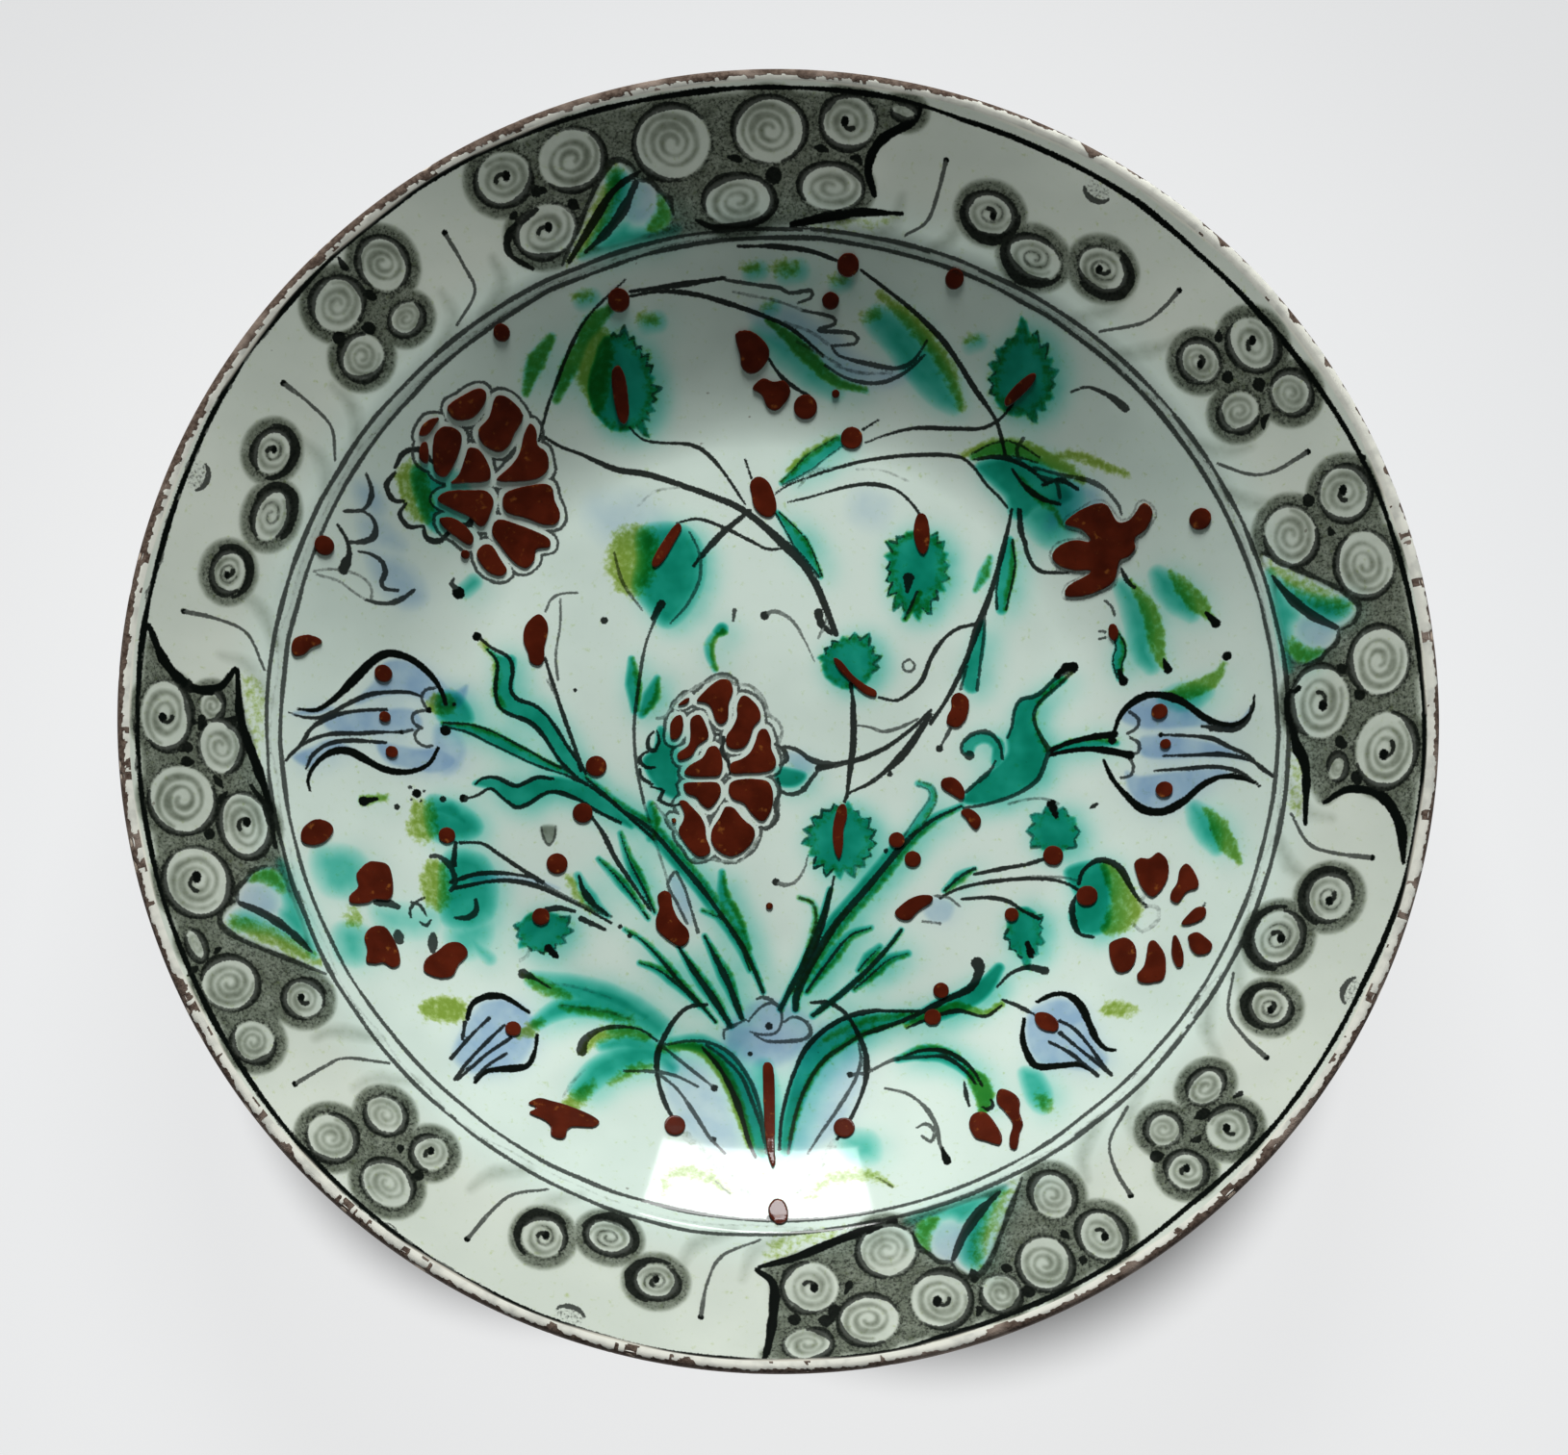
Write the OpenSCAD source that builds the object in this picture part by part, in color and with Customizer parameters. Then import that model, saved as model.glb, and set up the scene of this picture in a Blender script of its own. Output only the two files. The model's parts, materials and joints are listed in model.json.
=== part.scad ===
// Painted ceramic dish: a stonepaste body turned on a wheel, a separate foot ring under it,
// skins of white slip and clear glaze front and back, and thick red slip laid on as relief.
// Origin: centre of the plane the foot ring stands on. Z is up, units are millimetres.

/* [Dish] */
// outer diameter over the lip
plate_d = 300; // [250:10:360]
// height of the lip above the table
plate_h = 60; // [48:1:72]
// height of the painted floor above the table, at the centre
floor_z = 14; // [11:0.5:18]
// underside of the body, which the foot ring hangs from
under_z = 8; // [6:0.5:11]
// radius where the floor turns up into the wall
floor_r = 70; // [55:1:80]
// radius where the wall meets the flat rim
well_r = 114; // [95:1:135]
// height of the junction of wall and rim
well_z = 40.4; // [30:0.2:50]

/* [Foot] */
// outer diameter of the foot ring
foot_d = 165; // [130:5:180]
// thickness of the foot ring where it joins the body
foot_w = 8; // [5:0.5:12]
// width of the flat the dish stands on
foot_flat = 4; // [2:0.5:6]

/* [Layers] */
// thickness of the white slip
slip_t = 0.4; // [0.2:0.1:0.8]
// thickness of the clear glaze
glaze_t = 0.4; // [0.2:0.1:0.8]
// how far the red slip stands proud
red_t = 0.6; // [0.3:0.1:1.0]

/* [Hidden] */
$fn = 48;
plate_r = plate_d / 2;
foot_r = foot_d / 2;
lip_in = 1.2;
skin = slip_t + glaze_t;
edge = [plate_r - lip_in, plate_h];
shoulder = [well_r + 6, well_z + 4.4];
back_in = foot_r + 1.5;
rim_back = [well_r + 5, well_z - 4.2];
lip_back = [plate_r - 1.9, plate_h - 6];
white = [0.96, 0.97, 0.94];
mint = [0.87, 0.94, 0.9];
red = [0.42, 0.1, 0.06];
tan_body = [0.72, 0.6, 0.48];

// points along a curve with one control point, leaving out its start
function bend(a, b, c, n) = [for (i = [1:n]) let (t = i / n)
    (1 - t) * (1 - t) * a + 2 * t * (1 - t) * b + t * t * c];

// points along a curve with two control points, leaving out its start
function sweep(a, b, c, d, n) = [for (i = [1:n]) let (t = i / n, s = 1 - t)
    s * s * s * a + 3 * t * s * s * b + 3 * t * t * s * c + t * t * t * d];

function flip(p) = [for (i = [len(p) - 1:-1:0]) p[i]];

// a profile moved sideways by d, to the left of its own direction
function beside(p, d) = [for (i = [0:len(p) - 1])
    let (a = p[max(i - 1, 0)], b = p[min(i + 1, len(p) - 1)], t = (b - a) / norm(b - a))
    p[i][0] == 0 ? p[i] + [0, d] : p[i] + d * [-t[1], t[0]]];

// a closed outline through hand-placed points, rounded between them
function turn(a, b, c, d, t) = 0.5 * (2 * b + (c - a) * t
    + (2 * a - 5 * b + 4 * c - d) * t * t + (3 * b - a - 3 * c + d) * t * t * t);
function rounded(p, n = 3) = [for (i = [0:len(p) - 1], k = [0:n - 1]) let (m = len(p))
    turn(p[(i + m - 1) % m], p[i], p[(i + 1) % m], p[(i + 2) % m], k / n)];

// the painted face from the centre out to the lip
front = concat(
    [[0, floor_z]],
    bend([0, floor_z], [floor_r * 0.57, floor_z], [floor_r, floor_z + 1], 5),
    sweep([floor_r, floor_z + 1], [floor_r + 12, floor_z + 1.4],
        [well_r - 18, well_z - 13.1], [well_r, well_z], 12),
    bend([well_r, well_z], [well_r + 2.6, well_z + 2.8], shoulder, 4),
    bend(shoulder, [(shoulder[0] + edge[0]) / 2, (shoulder[1] + edge[1]) / 2 - 0.4], edge, 5));

// the bare back of the wall, from beside the foot out to the lip
back = concat(
    [[back_in, under_z]],
    sweep([back_in, under_z], [back_in + 13, under_z + 4],
        [rim_back[0] - 9, rim_back[1] - 9], rim_back, 10),
    bend(rim_back, [(rim_back[0] + lip_back[0]) / 2, (rim_back[1] + lip_back[1]) / 2 - 0.6],
        lip_back, 5));

body_front = beside(front, -skin);
slip_top = beside(front, -glaze_t);
body_end = body_front[len(body_front) - 1];
lip = concat(
    bend(body_end, [plate_r, body_end[1] + 0.3], [plate_r, plate_h - 2.6], 4),
    bend([plate_r, plate_h - 2.6], [plate_r, plate_h - 4.6], lip_back, 3));

module skin_between(low, high) {
    rotate_extrude($fn = 180) polygon(concat(low, flip(high)));
}

module stonepaste_body() {
    color(tan_body)
    rotate_extrude($fn = 180)
    polygon(concat(body_front, lip, [for (i = [len(back) - 2:-1:0]) back[i]], [[0, under_z]]));
}

module foot_ring() {
    color(tan_body)
    rotate_extrude($fn = 180)
    polygon([[foot_r - foot_w, under_z], [foot_r - foot_w + 1, 1],
        [foot_r - foot_w + 2, 0], [foot_r - foot_w + 2 + foot_flat, 0],
        [foot_r - 1, 1], [foot_r, under_z]]);
}

module front_slip() {
    color(white) skin_between(body_front, slip_top);
}

module front_glaze() {
    color(mint) skin_between(slip_top, front);
}

module under_disc(high, low) {
    translate([0, 0, low]) cylinder(r = foot_r - foot_w - 2, h = high - low, $fn = 180);
}

module back_slip() {
    color(white) {
        skin_between(beside(back, -slip_t), back);
        under_disc(under_z, under_z - slip_t);
    }
}

module back_glaze() {
    color(mint) {
        skin_between(beside(back, -skin), beside(back, -slip_t));
        under_disc(under_z - slip_t, under_z - skin);
    }
}

// the layer that the red slip fills, one thickness above the glaze
module red_layer() {
    rotate_extrude($fn = 180) polygon(concat(front, flip(beside(front, red_t))));
}

// red slip inside each hand-drawn outline
module red_shapes(outlines) {
    color(red)
    intersection() {
        red_layer();
        union() {
            for (o = outlines) {
                linear_extrude(height = plate_h + 10) polygon(rounded(o));
            }
        }
    }
}

// red slip dropped from the brush as round spots: [x, y, radius]
module red_spots(spots) {
    color(red)
    intersection() {
        red_layer();
        union() {
            for (s = spots) {
                translate([s[0], s[1], 0]) cylinder(r = s[2], h = plate_h + 10);
            }
        }
    }
}

left_carnation = [
    [[-76, 75.5], [-71, 79], [-68.5, 80], [-67, 79], [-67.5, 76.5], [-70, 73.5], [-73, 72.5],
        [-75, 73]],
    [[-65, 78.5], [-62, 78.5], [-58.5, 75], [-60.5, 71], [-62, 68], [-64.5, 66.5], [-68, 68],
        [-69, 71], [-66.5, 74]],
    [[-57, 73.5], [-55.5, 72], [-55.3, 69], [-53.2, 67.5], [-52.7, 64], [-55.3, 61.5],
        [-60, 60.5], [-65, 60.5], [-61.5, 64], [-59.5, 67], [-58.5, 71]],
    [[-55, 60.5], [-52, 60], [-51.3, 57], [-50, 54], [-51, 51.5], [-54, 51.2], [-58, 52.5],
        [-62.5, 53.5], [-63.5, 56], [-62, 58.5]],
    [[-64.5, 52], [-60, 51.2], [-55, 49.5], [-52.5, 48], [-52.5, 46], [-55.5, 45.5], [-56, 43],
        [-58, 41], [-61, 42.5], [-64, 46], [-66, 49]],
    [[-68, 46], [-65.8, 46], [-63.8, 43], [-62.3, 40.5], [-64, 39], [-67, 40], [-69.5, 43.5]],
    [[-78, 51], [-75, 51.5], [-72, 50], [-70, 47.5], [-71, 45.5], [-74, 47], [-77, 49]],
    [[-78.5, 55], [-76, 57.2], [-70, 58], [-67, 58], [-65.4, 56], [-66, 53.5], [-67.3, 50.5],
        [-69, 50], [-71, 51.8], [-75, 53.2]],
    [[-75.5, 58.8], [-73.5, 61], [-72, 65], [-71.2, 67], [-69, 67], [-67.2, 65], [-66, 62],
        [-67, 60], [-72, 59.2]],
    [[-79, 69], [-77, 71], [-74.5, 71], [-72.7, 69.5], [-73.2, 66], [-75, 62], [-76.8, 60],
        [-79, 61], [-79.5, 65]],
    [[-82, 70.5], [-80, 72.3], [-77.8, 72.8], [-78.8, 71], [-80.5, 68.8], [-82.5, 68.4]],
    [[-82.2, 66.5], [-80.7, 67.3], [-80.2, 64.5], [-80.7, 62.5], [-82.5, 63.5]]];

centre_carnation = [
    [[-18.5, 10], [-16, 13], [-13, 15.2], [-10.7, 15], [-9.8, 12.5], [-10.8, 9.5], [-11, 6],
        [-12.5, 4.5], [-14, 5.5], [-15, 8.4], [-16.5, 9.6]],
    [[-9, 9], [-8, 11.2], [-6.4, 11.2], [-4, 8.7], [-3.4, 6], [-5, 4], [-6, 1], [-7.5, -1],
        [-10, -1.3], [-11.5, -0.2], [-11.4, 2], [-10, 4], [-9, 6.5]],
    [[-3.3, 3.6], [-2, 3.4], [-1, 1], [-1, -1], [0.2, -4], [-0.6, -6], [-3, -6.8], [-7, -7],
        [-10.4, -6.9], [-10.4, -4.5], [-8, -3.5], [-6, -2], [-4.8, 0.5], [-4.2, 2.5]],
    [[-10.4, -9], [-8, -8.2], [-4, -8.2], [-1.5, -9], [-0.5, -12], [-1, -15.5], [-2.5, -18],
        [-4, -18], [-6, -16], [-7.5, -14], [-10, -13], [-11, -11]],
    [[-11.5, -14.6], [-9.6, -15], [-7.5, -17.6], [-5.2, -19.5], [-4.8, -21.5], [-6, -24],
        [-8.5, -26], [-11, -26.4], [-13.6, -25], [-15, -22.8], [-14.8, -20], [-13.2, -17.5],
        [-12.2, -15.5]],
    [[-22.5, -13.5], [-21, -13.2], [-19.5, -14.6], [-17.3, -17], [-16.2, -19.5], [-16, -22],
        [-15, -25], [-16.4, -26.4], [-18.5, -26.3], [-21, -23.5], [-22.6, -20.5],
        [-21.5, -18], [-21.4, -16]],
    [[-21.3, -9.2], [-17.5, -8.9], [-13.6, -9], [-12.6, -11], [-13.6, -13.5], [-15.5, -15.3],
        [-17.5, -14], [-18.5, -12.6], [-20.8, -11.6]],
    [[-21.3, -7], [-20, -5], [-17, -3.2], [-15.6, -0.8], [-13.7, -0.5], [-12.6, -2.5],
        [-12.2, -5], [-12.9, -7.4], [-15, -7.8], [-19, -7.8]],
    [[-19.8, 5.8], [-18, 7], [-16.8, 6], [-15.6, 3], [-15.7, 1.2], [-18, -0.5], [-19.5, -3],
        [-22.3, -4], [-22.8, -2.2], [-20.3, -0.3], [-19.8, 2.5]],
    [[-24.4, 5], [-23, 6.7], [-21.6, 6.5], [-21.4, 3.5], [-22.6, 1.2], [-24.2, 1],
        [-24.6, 2.6]],
    [[-22.8, 9], [-21, 10.7], [-19.8, 10.8], [-20.6, 9.3]],
    [[-24.2, -17.6], [-23.3, -17.4], [-22.9, -18.2], [-23.7, -18.8]]];

small_carnations = [
    [[-96.5, -33], [-94, -30], [-92, -29.5], [-89.5, -30], [-88.5, -32], [-88, -36],
        [-89, -38.7], [-92, -38.8], [-94, -40], [-97.5, -40.3], [-98, -38.5], [-96, -36]],
    [[-94.5, -48], [-93, -45.5], [-90, -45], [-88, -47.5], [-86.5, -51], [-86.3, -54],
        [-88, -55], [-90, -54], [-92, -54.5], [-94, -54], [-93.8, -51]],
    [[-81, -55], [-80.5, -52], [-78, -50], [-76, -48], [-73.5, -47.3], [-71.5, -48.5],
        [-71, -50.5], [-73, -53], [-74.5, -56], [-78, -56.5]],
    [[82.5, -29], [84, -27.7], [86, -28], [88, -26.7], [90, -29], [90, -33], [88, -36.5],
        [86, -37.5], [84, -35], [83, -32]],
    [[92.5, -31.5], [94, -30], [95.5, -31.5], [96.8, -35], [96, -36.5], [94, -37], [92, -39.5],
        [90.3, -38.5], [90.6, -36.5], [91.9, -34.5]],
    [[92.5, -44.5], [94, -42.5], [96, -40.8], [98, -41], [98, -43], [96.5, -44.3],
        [94, -45]],
    [[94, -47.5], [96, -46.7], [98, -48.3], [99.3, -50], [98.5, -52], [96, -52.5],
        [94.5, -51], [94, -49]],
    [[90.6, -47.5], [91.7, -47.5], [92.9, -51.5], [92.7, -54.5], [91.3, -55],
        [90.2, -52]],
    [[85.2, -48.5], [86.5, -47.8], [88, -49.7], [89, -52.5], [88.5, -57.3], [86, -58.3],
        [83, -58], [82.4, -56], [84, -54], [84.7, -51]],
    [[76.5, -48], [78, -47], [80.5, -46.7], [82.4, -49], [82.3, -52.5], [80.5, -55],
        [78, -55], [76.8, -52.5], [76.4, -50]]];

iris = [
    [[67, 51], [70, 53.5], [74.5, 55], [77, 54], [79, 50.5], [81.5, 50.5], [83, 52],
        [84.2, 53.7], [85.7, 53.7], [87, 51.5], [85.5, 48], [83, 46.3], [83.2, 44],
        [81.5, 42.2], [79.6, 41.5], [78.5, 37.2], [75, 35.2], [71, 34.2], [67.3, 34.6],
        [68, 37], [72, 39], [73, 40], [69.5, 40.2], [65.8, 41.6], [64.2, 44], [66, 46.3],
        [69.5, 47.3], [73, 46.6], [71, 49.3]]];

leaf_pods = [
    [[-38, 86], [-36.4, 87], [-34.9, 84.5], [-34.2, 80], [-34.1, 76.5], [-35.1, 74.5],
        [-36.6, 75.7], [-37.6, 79.5], [-38.2, 83.5]],
    [[-23.2, 51.8], [-21.7, 50.8], [-23.3, 47.6], [-26, 43], [-28, 41.4], [-28.8, 42.8],
        [-26.8, 46.8]],
    [[33, 54], [35, 54], [36, 50.5], [35.7, 46.5], [34.5, 44.6], [33, 46], [32.1, 50]],
    [[53.3, 77.5], [55, 78], [58.7, 81], [60.2, 83.4], [59, 84.2], [55.8, 82.2],
        [53.1, 79.3]],
    [[13.4, 20.3], [15.2, 19.7], [18, 16.3], [21, 14], [23.4, 12.6], [23.2, 11],
        [20.8, 11.6], [18, 14], [14.5, 17.6]],
    [[14.6, -14.4], [16.2, -14.2], [16.6, -17], [15.8, -20], [15.6, -24], [14.8, -27],
        [13.7, -25.5], [13.1, -22], [13.4, -18]],
    [[-3.1, -75.3], [-1.8, -74.4], [-0.6, -76], [-0.3, -82], [-0.4, -90], [-0.5, -96],
        [-0.4, -99.2], [-1, -100.4], [-1.7, -99.4], [-2.4, -96], [-3, -88], [-3.1, -80]],
    [[-56, 30], [-54.5, 30.3], [-53, 28.4], [-52.8, 26], [-53.6, 22.6], [-53.7, 19.5],
        [-55, 18.1], [-57, 19], [-57.6, 21.3], [-58.6, 24], [-58.2, 27.5]],
    [[77.3, 27.3], [78.6, 27.6], [79.5, 25.8], [79.1, 23.9], [78.2, 23.6], [77.2, 25]]];

buds = [
    [[-5.7, 61.9], [-4.4, 63], [-2.8, 62.8], [-1.3, 61.4], [-0.3, 59], [0.3, 56.6], [0.2, 54.7],
        [-0.9, 53.4], [-2.4, 53.4], [-4, 54.4], [-5.2, 56.4], [-5.6, 58.8], [-6, 60.5]],
    [[-1.2, -108.6], [0, -108.2], [1.3, -108.8], [2.1, -110.4], [2.3, -112.4], [1.6, -114],
        [0.2, -114.6], [-1, -114], [-2.1, -112.4], [-2.3, -110.4]],
    [[-9.5, 94.4], [-6, 95.2], [-2.4, 92.8], [-1.4, 90], [-3.4, 87], [-6, 86], [-8, 87.5],
        [-8.4, 90]],
    [[-5.5, 83], [-3, 85.3], [-0.5, 84.5], [2, 84.8], [3.6, 82.5], [2.2, 79.7], [0, 78.1],
        [-2, 79], [-3.2, 81.5]],
    [[-27.5, -35.7], [-25.8, -34.3], [-24.2, -35.3], [-23.8, -38], [-22.5, -41],
        [-20.2, -43.7], [-20.2, -46.3], [-22.2, -47.6], [-25, -46], [-27.5, -43.6],
        [-27.8, -41], [-27, -38.5]],
    [[-57, -86], [-54.5, -84.5], [-52, -85], [-48, -86], [-43, -88], [-40.6, -89.8],
        [-42, -91.3], [-46, -91.3], [-47.8, -92], [-48.3, -94], [-50, -94.6], [-51.8, -93.4],
        [-51.8, -91.6], [-53.2, -90], [-56.8, -88.4], [-55, -87]],
    [[46, -87.5], [48, -88], [50, -91], [51.2, -94], [50.4, -96], [47.5, -95], [45, -94],
        [43.7, -91], [44.3, -88.5]],
    [[51.2, -82], [53.5, -82.8], [55.4, -85], [55.3, -88], [56, -91], [55.2, -93],
        [54.7, -96], [54, -97.3], [52.7, -96.7], [52.7, -94], [53.5, -91], [52, -88],
        [50.2, -85.6], [50.2, -83.2]],
    [[38.6, -8.2], [41, -7.7], [43, -9.2], [43.9, -11.5], [43.2, -13.2], [40.7, -11.9],
        [38.4, -10.2]],
    [[43.2, -15.4], [45.2, -15.2], [47.2, -16.8], [47.6, -18.6], [46.5, -20.2],
        [45.2, -19.3], [44, -17.5], [42.9, -16.3]],
    [[42.6, 12.2], [44.9, 10.4], [44.5, 6.5], [42.4, 3.8], [39.8, 4.6], [39.8, 6.6],
        [40.7, 8.4], [40.8, 11]],
    [[28.4, -38.2], [31, -36.2], [33.8, -35.3], [36.2, -35.6], [36, -37.2], [33, -39.2],
        [31, -41.3], [28.6, -41.1], [27.4, -39.6]],
    [[-111.5, 18], [-110.6, 20.5], [-107.6, 21.6], [-105, 21], [-104.6, 19.8],
        [-107, 18.4], [-108.4, 16.8], [-110.6, 16.2]],
    [[-108.8, -26.6], [-108.6, -23.5], [-105.8, -21], [-102.7, -21.4], [-101.6, -23.4],
        [-103.4, -26.2], [-106.4, -27.5]],
    [[10.7, 102.2], [12.6, 103.2], [14.5, 102], [14.2, 100], [12.4, 99.3], [10.8, 100.3]],
    [[59.2, -65], [60, -63.6], [62.5, -63.9], [64.6, -66], [64.4, -68.3], [62.5, -68.6],
        [60.2, -67.4]]];

module red_left_carnation() {
    red_shapes(left_carnation);
}

module red_centre_carnation() {
    red_shapes(centre_carnation);
}

module red_small_carnations() {
    red_shapes(small_carnations);
}

module red_iris() {
    red_shapes(iris);
}

module red_leaf_pods() {
    red_shapes(leaf_pods);
}

module red_buds() {
    red_shapes(buds);
}

module red_tulip_spots() {
    red_spots([[-90.7, 14.7, 2.1], [-90.3, 4.7, 1.4], [-88.7, -3.3, 1.5], [88.6, 6.4, 1.9],
        [89.9, -1.3, 1.3], [89.5, -12, 2], [-60.5, -67.8, 1.9], [15.4, -90.6, 2.5],
        [-23.4, -90.2, 2.5]]);
}

module red_berries() {
    red_spots([[-63.5, 92, 2], [-36.5, 100.5, 2.6], [16.5, 108.5, 2.6], [41, 104.8, 2.2],
        [7, 79, 2.8], [14, 81.8, 1], [17.8, 72, 2.6], [97.5, 49, 2.5], [-104, 42, 2.3],
        [-41.6, -5.3, 2.5], [-44.7, -16.3, 2.4], [-50.6, -28.2, 2.5], [-76, -22, 2],
        [-54.3, -40.6, 2.1], [28, -22.5, 1.9], [31.7, -27, 2], [64.2, -26.2, 2.4],
        [71.8, -36, 2.5], [54.5, -40, 1.7], [38.1, -57.7, 1.9], [36.1, -64, 2],
        [-1.5, -38, 0.9], [-72, 43.5, 1.1]]);
}

stonepaste_body();
foot_ring();
front_slip();
back_slip();
front_glaze();
back_glaze();
red_left_carnation();
red_centre_carnation();
red_small_carnations();
red_iris();
red_tulip_spots();
red_leaf_pods();
red_buds();
red_berries();
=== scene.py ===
# %% [markdown]
# A painted footed dish, built around its CAD frame.
# The clay, slip and glaze are already there as plain solids. What is missing is what the painter
# did: thin washes of copper green and cobalt, black brush lines, thick red slip, and years of wear.
# Everything is in metres in the frame; the painting is planned in millimetres seen from above.

import json
import math

import bpy
import bmesh
import numpy as np
from mathutils import Matrix, Vector

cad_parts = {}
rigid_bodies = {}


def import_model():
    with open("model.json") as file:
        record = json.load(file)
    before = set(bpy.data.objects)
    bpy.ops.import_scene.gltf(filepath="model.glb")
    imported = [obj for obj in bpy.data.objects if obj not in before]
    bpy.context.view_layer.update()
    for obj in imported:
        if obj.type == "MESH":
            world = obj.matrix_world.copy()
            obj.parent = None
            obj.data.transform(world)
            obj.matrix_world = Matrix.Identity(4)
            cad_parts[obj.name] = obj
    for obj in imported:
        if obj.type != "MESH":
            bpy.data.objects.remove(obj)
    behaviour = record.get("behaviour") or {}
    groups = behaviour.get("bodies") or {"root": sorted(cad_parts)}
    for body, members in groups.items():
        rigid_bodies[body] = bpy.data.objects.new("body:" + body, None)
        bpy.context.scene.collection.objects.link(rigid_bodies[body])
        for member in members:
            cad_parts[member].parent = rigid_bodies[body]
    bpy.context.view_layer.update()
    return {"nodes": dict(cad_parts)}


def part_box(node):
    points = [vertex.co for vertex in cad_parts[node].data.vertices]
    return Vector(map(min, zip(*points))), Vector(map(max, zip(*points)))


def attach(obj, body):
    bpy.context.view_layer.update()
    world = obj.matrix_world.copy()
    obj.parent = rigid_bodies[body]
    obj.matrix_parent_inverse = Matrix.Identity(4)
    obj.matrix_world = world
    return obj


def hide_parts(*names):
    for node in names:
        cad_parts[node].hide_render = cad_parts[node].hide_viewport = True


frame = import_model()
MM = 0.001
scene = bpy.context.scene
scene.view_settings.view_transform = "Standard"
rng = np.random.default_rng(7)
print("nodes:", sorted(frame["nodes"]))

# %% [markdown]
# The face of the dish is one curve: flat floor, sloping and nearly straight wall, straight rim
# and soft lip.
# It could be read from the CAD mesh, but that mesh is faceted, and gloss shows every facet.
# So the same curve is drawn again with the frame's own sizes and sampled finely.

# %% Profile of the painted face
glaze_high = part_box("front_glaze")[1]
body_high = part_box("stonepaste_body")[1]
LIP_R = round(body_high[0] / MM)
TOP_Z = glaze_high[2] / MM
FLOOR_Z = 14.0   # the painted floor at its centre
FLOOR_R = 70.0   # where the floor turns up into the wall
WELL_R = 114.0   # where the wall meets the rim
WELL_Z = 40.4


def curve(points, count=60):
    """A Bezier curve through two ends with one or two handles."""
    p = np.array(points, float)
    t = np.linspace(0, 1, count)[:, None]
    if len(p) == 3:
        return (1 - t) ** 2 * p[0] + 2 * t * (1 - t) * p[1] + t ** 2 * p[2]
    return ((1 - t) ** 3 * p[0] + 3 * t * (1 - t) ** 2 * p[1]
            + 3 * t ** 2 * (1 - t) * p[2] + t ** 3 * p[3])


shoulder = (WELL_R + 6, WELL_Z + 4.4)
rim_edge = (LIP_R - 1.2, TOP_Z)
face = np.vstack([
    curve([(0, FLOOR_Z), (FLOOR_R * 0.57, FLOOR_Z), (FLOOR_R, FLOOR_Z + 1)]),
    curve([(FLOOR_R, FLOOR_Z + 1), (FLOOR_R + 12, FLOOR_Z + 1.4),
           (WELL_R - 18, WELL_Z - 13.1), (WELL_R, WELL_Z)])[1:],
    curve([(WELL_R, WELL_Z), (WELL_R + 2.6, WELL_Z + 2.8), shoulder])[1:],
    curve([shoulder, ((shoulder[0] + rim_edge[0]) / 2, (shoulder[1] + rim_edge[1]) / 2 - 0.4),
           rim_edge])[1:]])


def face_height(radius):
    """Height of the painted face at a radius, in millimetres."""
    return np.interp(radius, face[:, 0], face[:, 1])


print("face height at wall, ring and lip:", face_height([90, 114, 148]).round(1))

# %% [markdown]
# A dish is turned on a wheel, and Spin is Blender's wheel: a chain of points set on the profile,
# swept round the axis. A circle primitive gives the chain; its points are set on the profile,
# and for an open profile the closing edge is dropped.

# %% Turning a profile


def turned(name, profile, start=0.0, sweep=360.0, steps=96, closed=False):
    """Spins a profile of (radius, height) points in millimetres into an object."""
    bpy.ops.object.select_all(action="DESELECT")
    bpy.ops.mesh.primitive_circle_add(vertices=len(profile), radius=1)
    piece = bpy.context.object
    piece.name = piece.data.name = name
    angle = math.radians(start)
    for vertex, (radius, height) in zip(piece.data.vertices, profile):
        vertex.co = (radius * MM * math.cos(angle), radius * MM * math.sin(angle), height * MM)
    bpy.ops.object.mode_set(mode="EDIT")
    if not closed:
        bpy.ops.mesh.select_all(action="DESELECT")
        chain = bmesh.from_edit_mesh(piece.data)
        chain.edges.ensure_lookup_table()
        last = len(profile) - 1
        for edge in chain.edges:
            if {v.index for v in edge.verts} == {0, last}:
                edge.select_set(True)
        bpy.ops.mesh.delete(type="EDGE_FACE")
    bpy.ops.mesh.select_all(action="SELECT")
    bpy.ops.mesh.spin(steps=steps, angle=math.radians(sweep), center=(0, 0, 0), axis=(0, 0, 1))
    bpy.ops.mesh.select_all(action="SELECT")
    bpy.ops.mesh.remove_doubles(threshold=2e-6)
    bpy.ops.object.mode_set(mode="OBJECT")
    piece.data.shade_smooth()
    return piece


def face_normals(piece):
    """One normal per face, as rows of an array."""
    normals = np.empty(len(piece.data.polygons) * 3)
    piece.data.polygons.foreach_get("normal", normals)
    return normals.reshape(-1, 3)


def turn_over(piece):
    """Flips every face of a piece."""
    bpy.ops.object.select_all(action="DESELECT")
    bpy.context.view_layer.objects.active = piece
    piece.select_set(True)
    bpy.ops.object.mode_set(mode="EDIT")
    bpy.ops.mesh.select_all(action="SELECT")
    bpy.ops.mesh.flip_normals()
    bpy.ops.object.mode_set(mode="OBJECT")


# %% [markdown]
# The painting has to follow the surface, so it is carried by the glaze mesh itself: each point
# stores how much of each pigment lies there. A brush line is half a millimetre wide, so the
# points are about a third of a millimetre apart. That is too many for one mesh, and the painted
# face is made as a floor, four wall quarters and four rim quarters that meet edge to edge.

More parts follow.
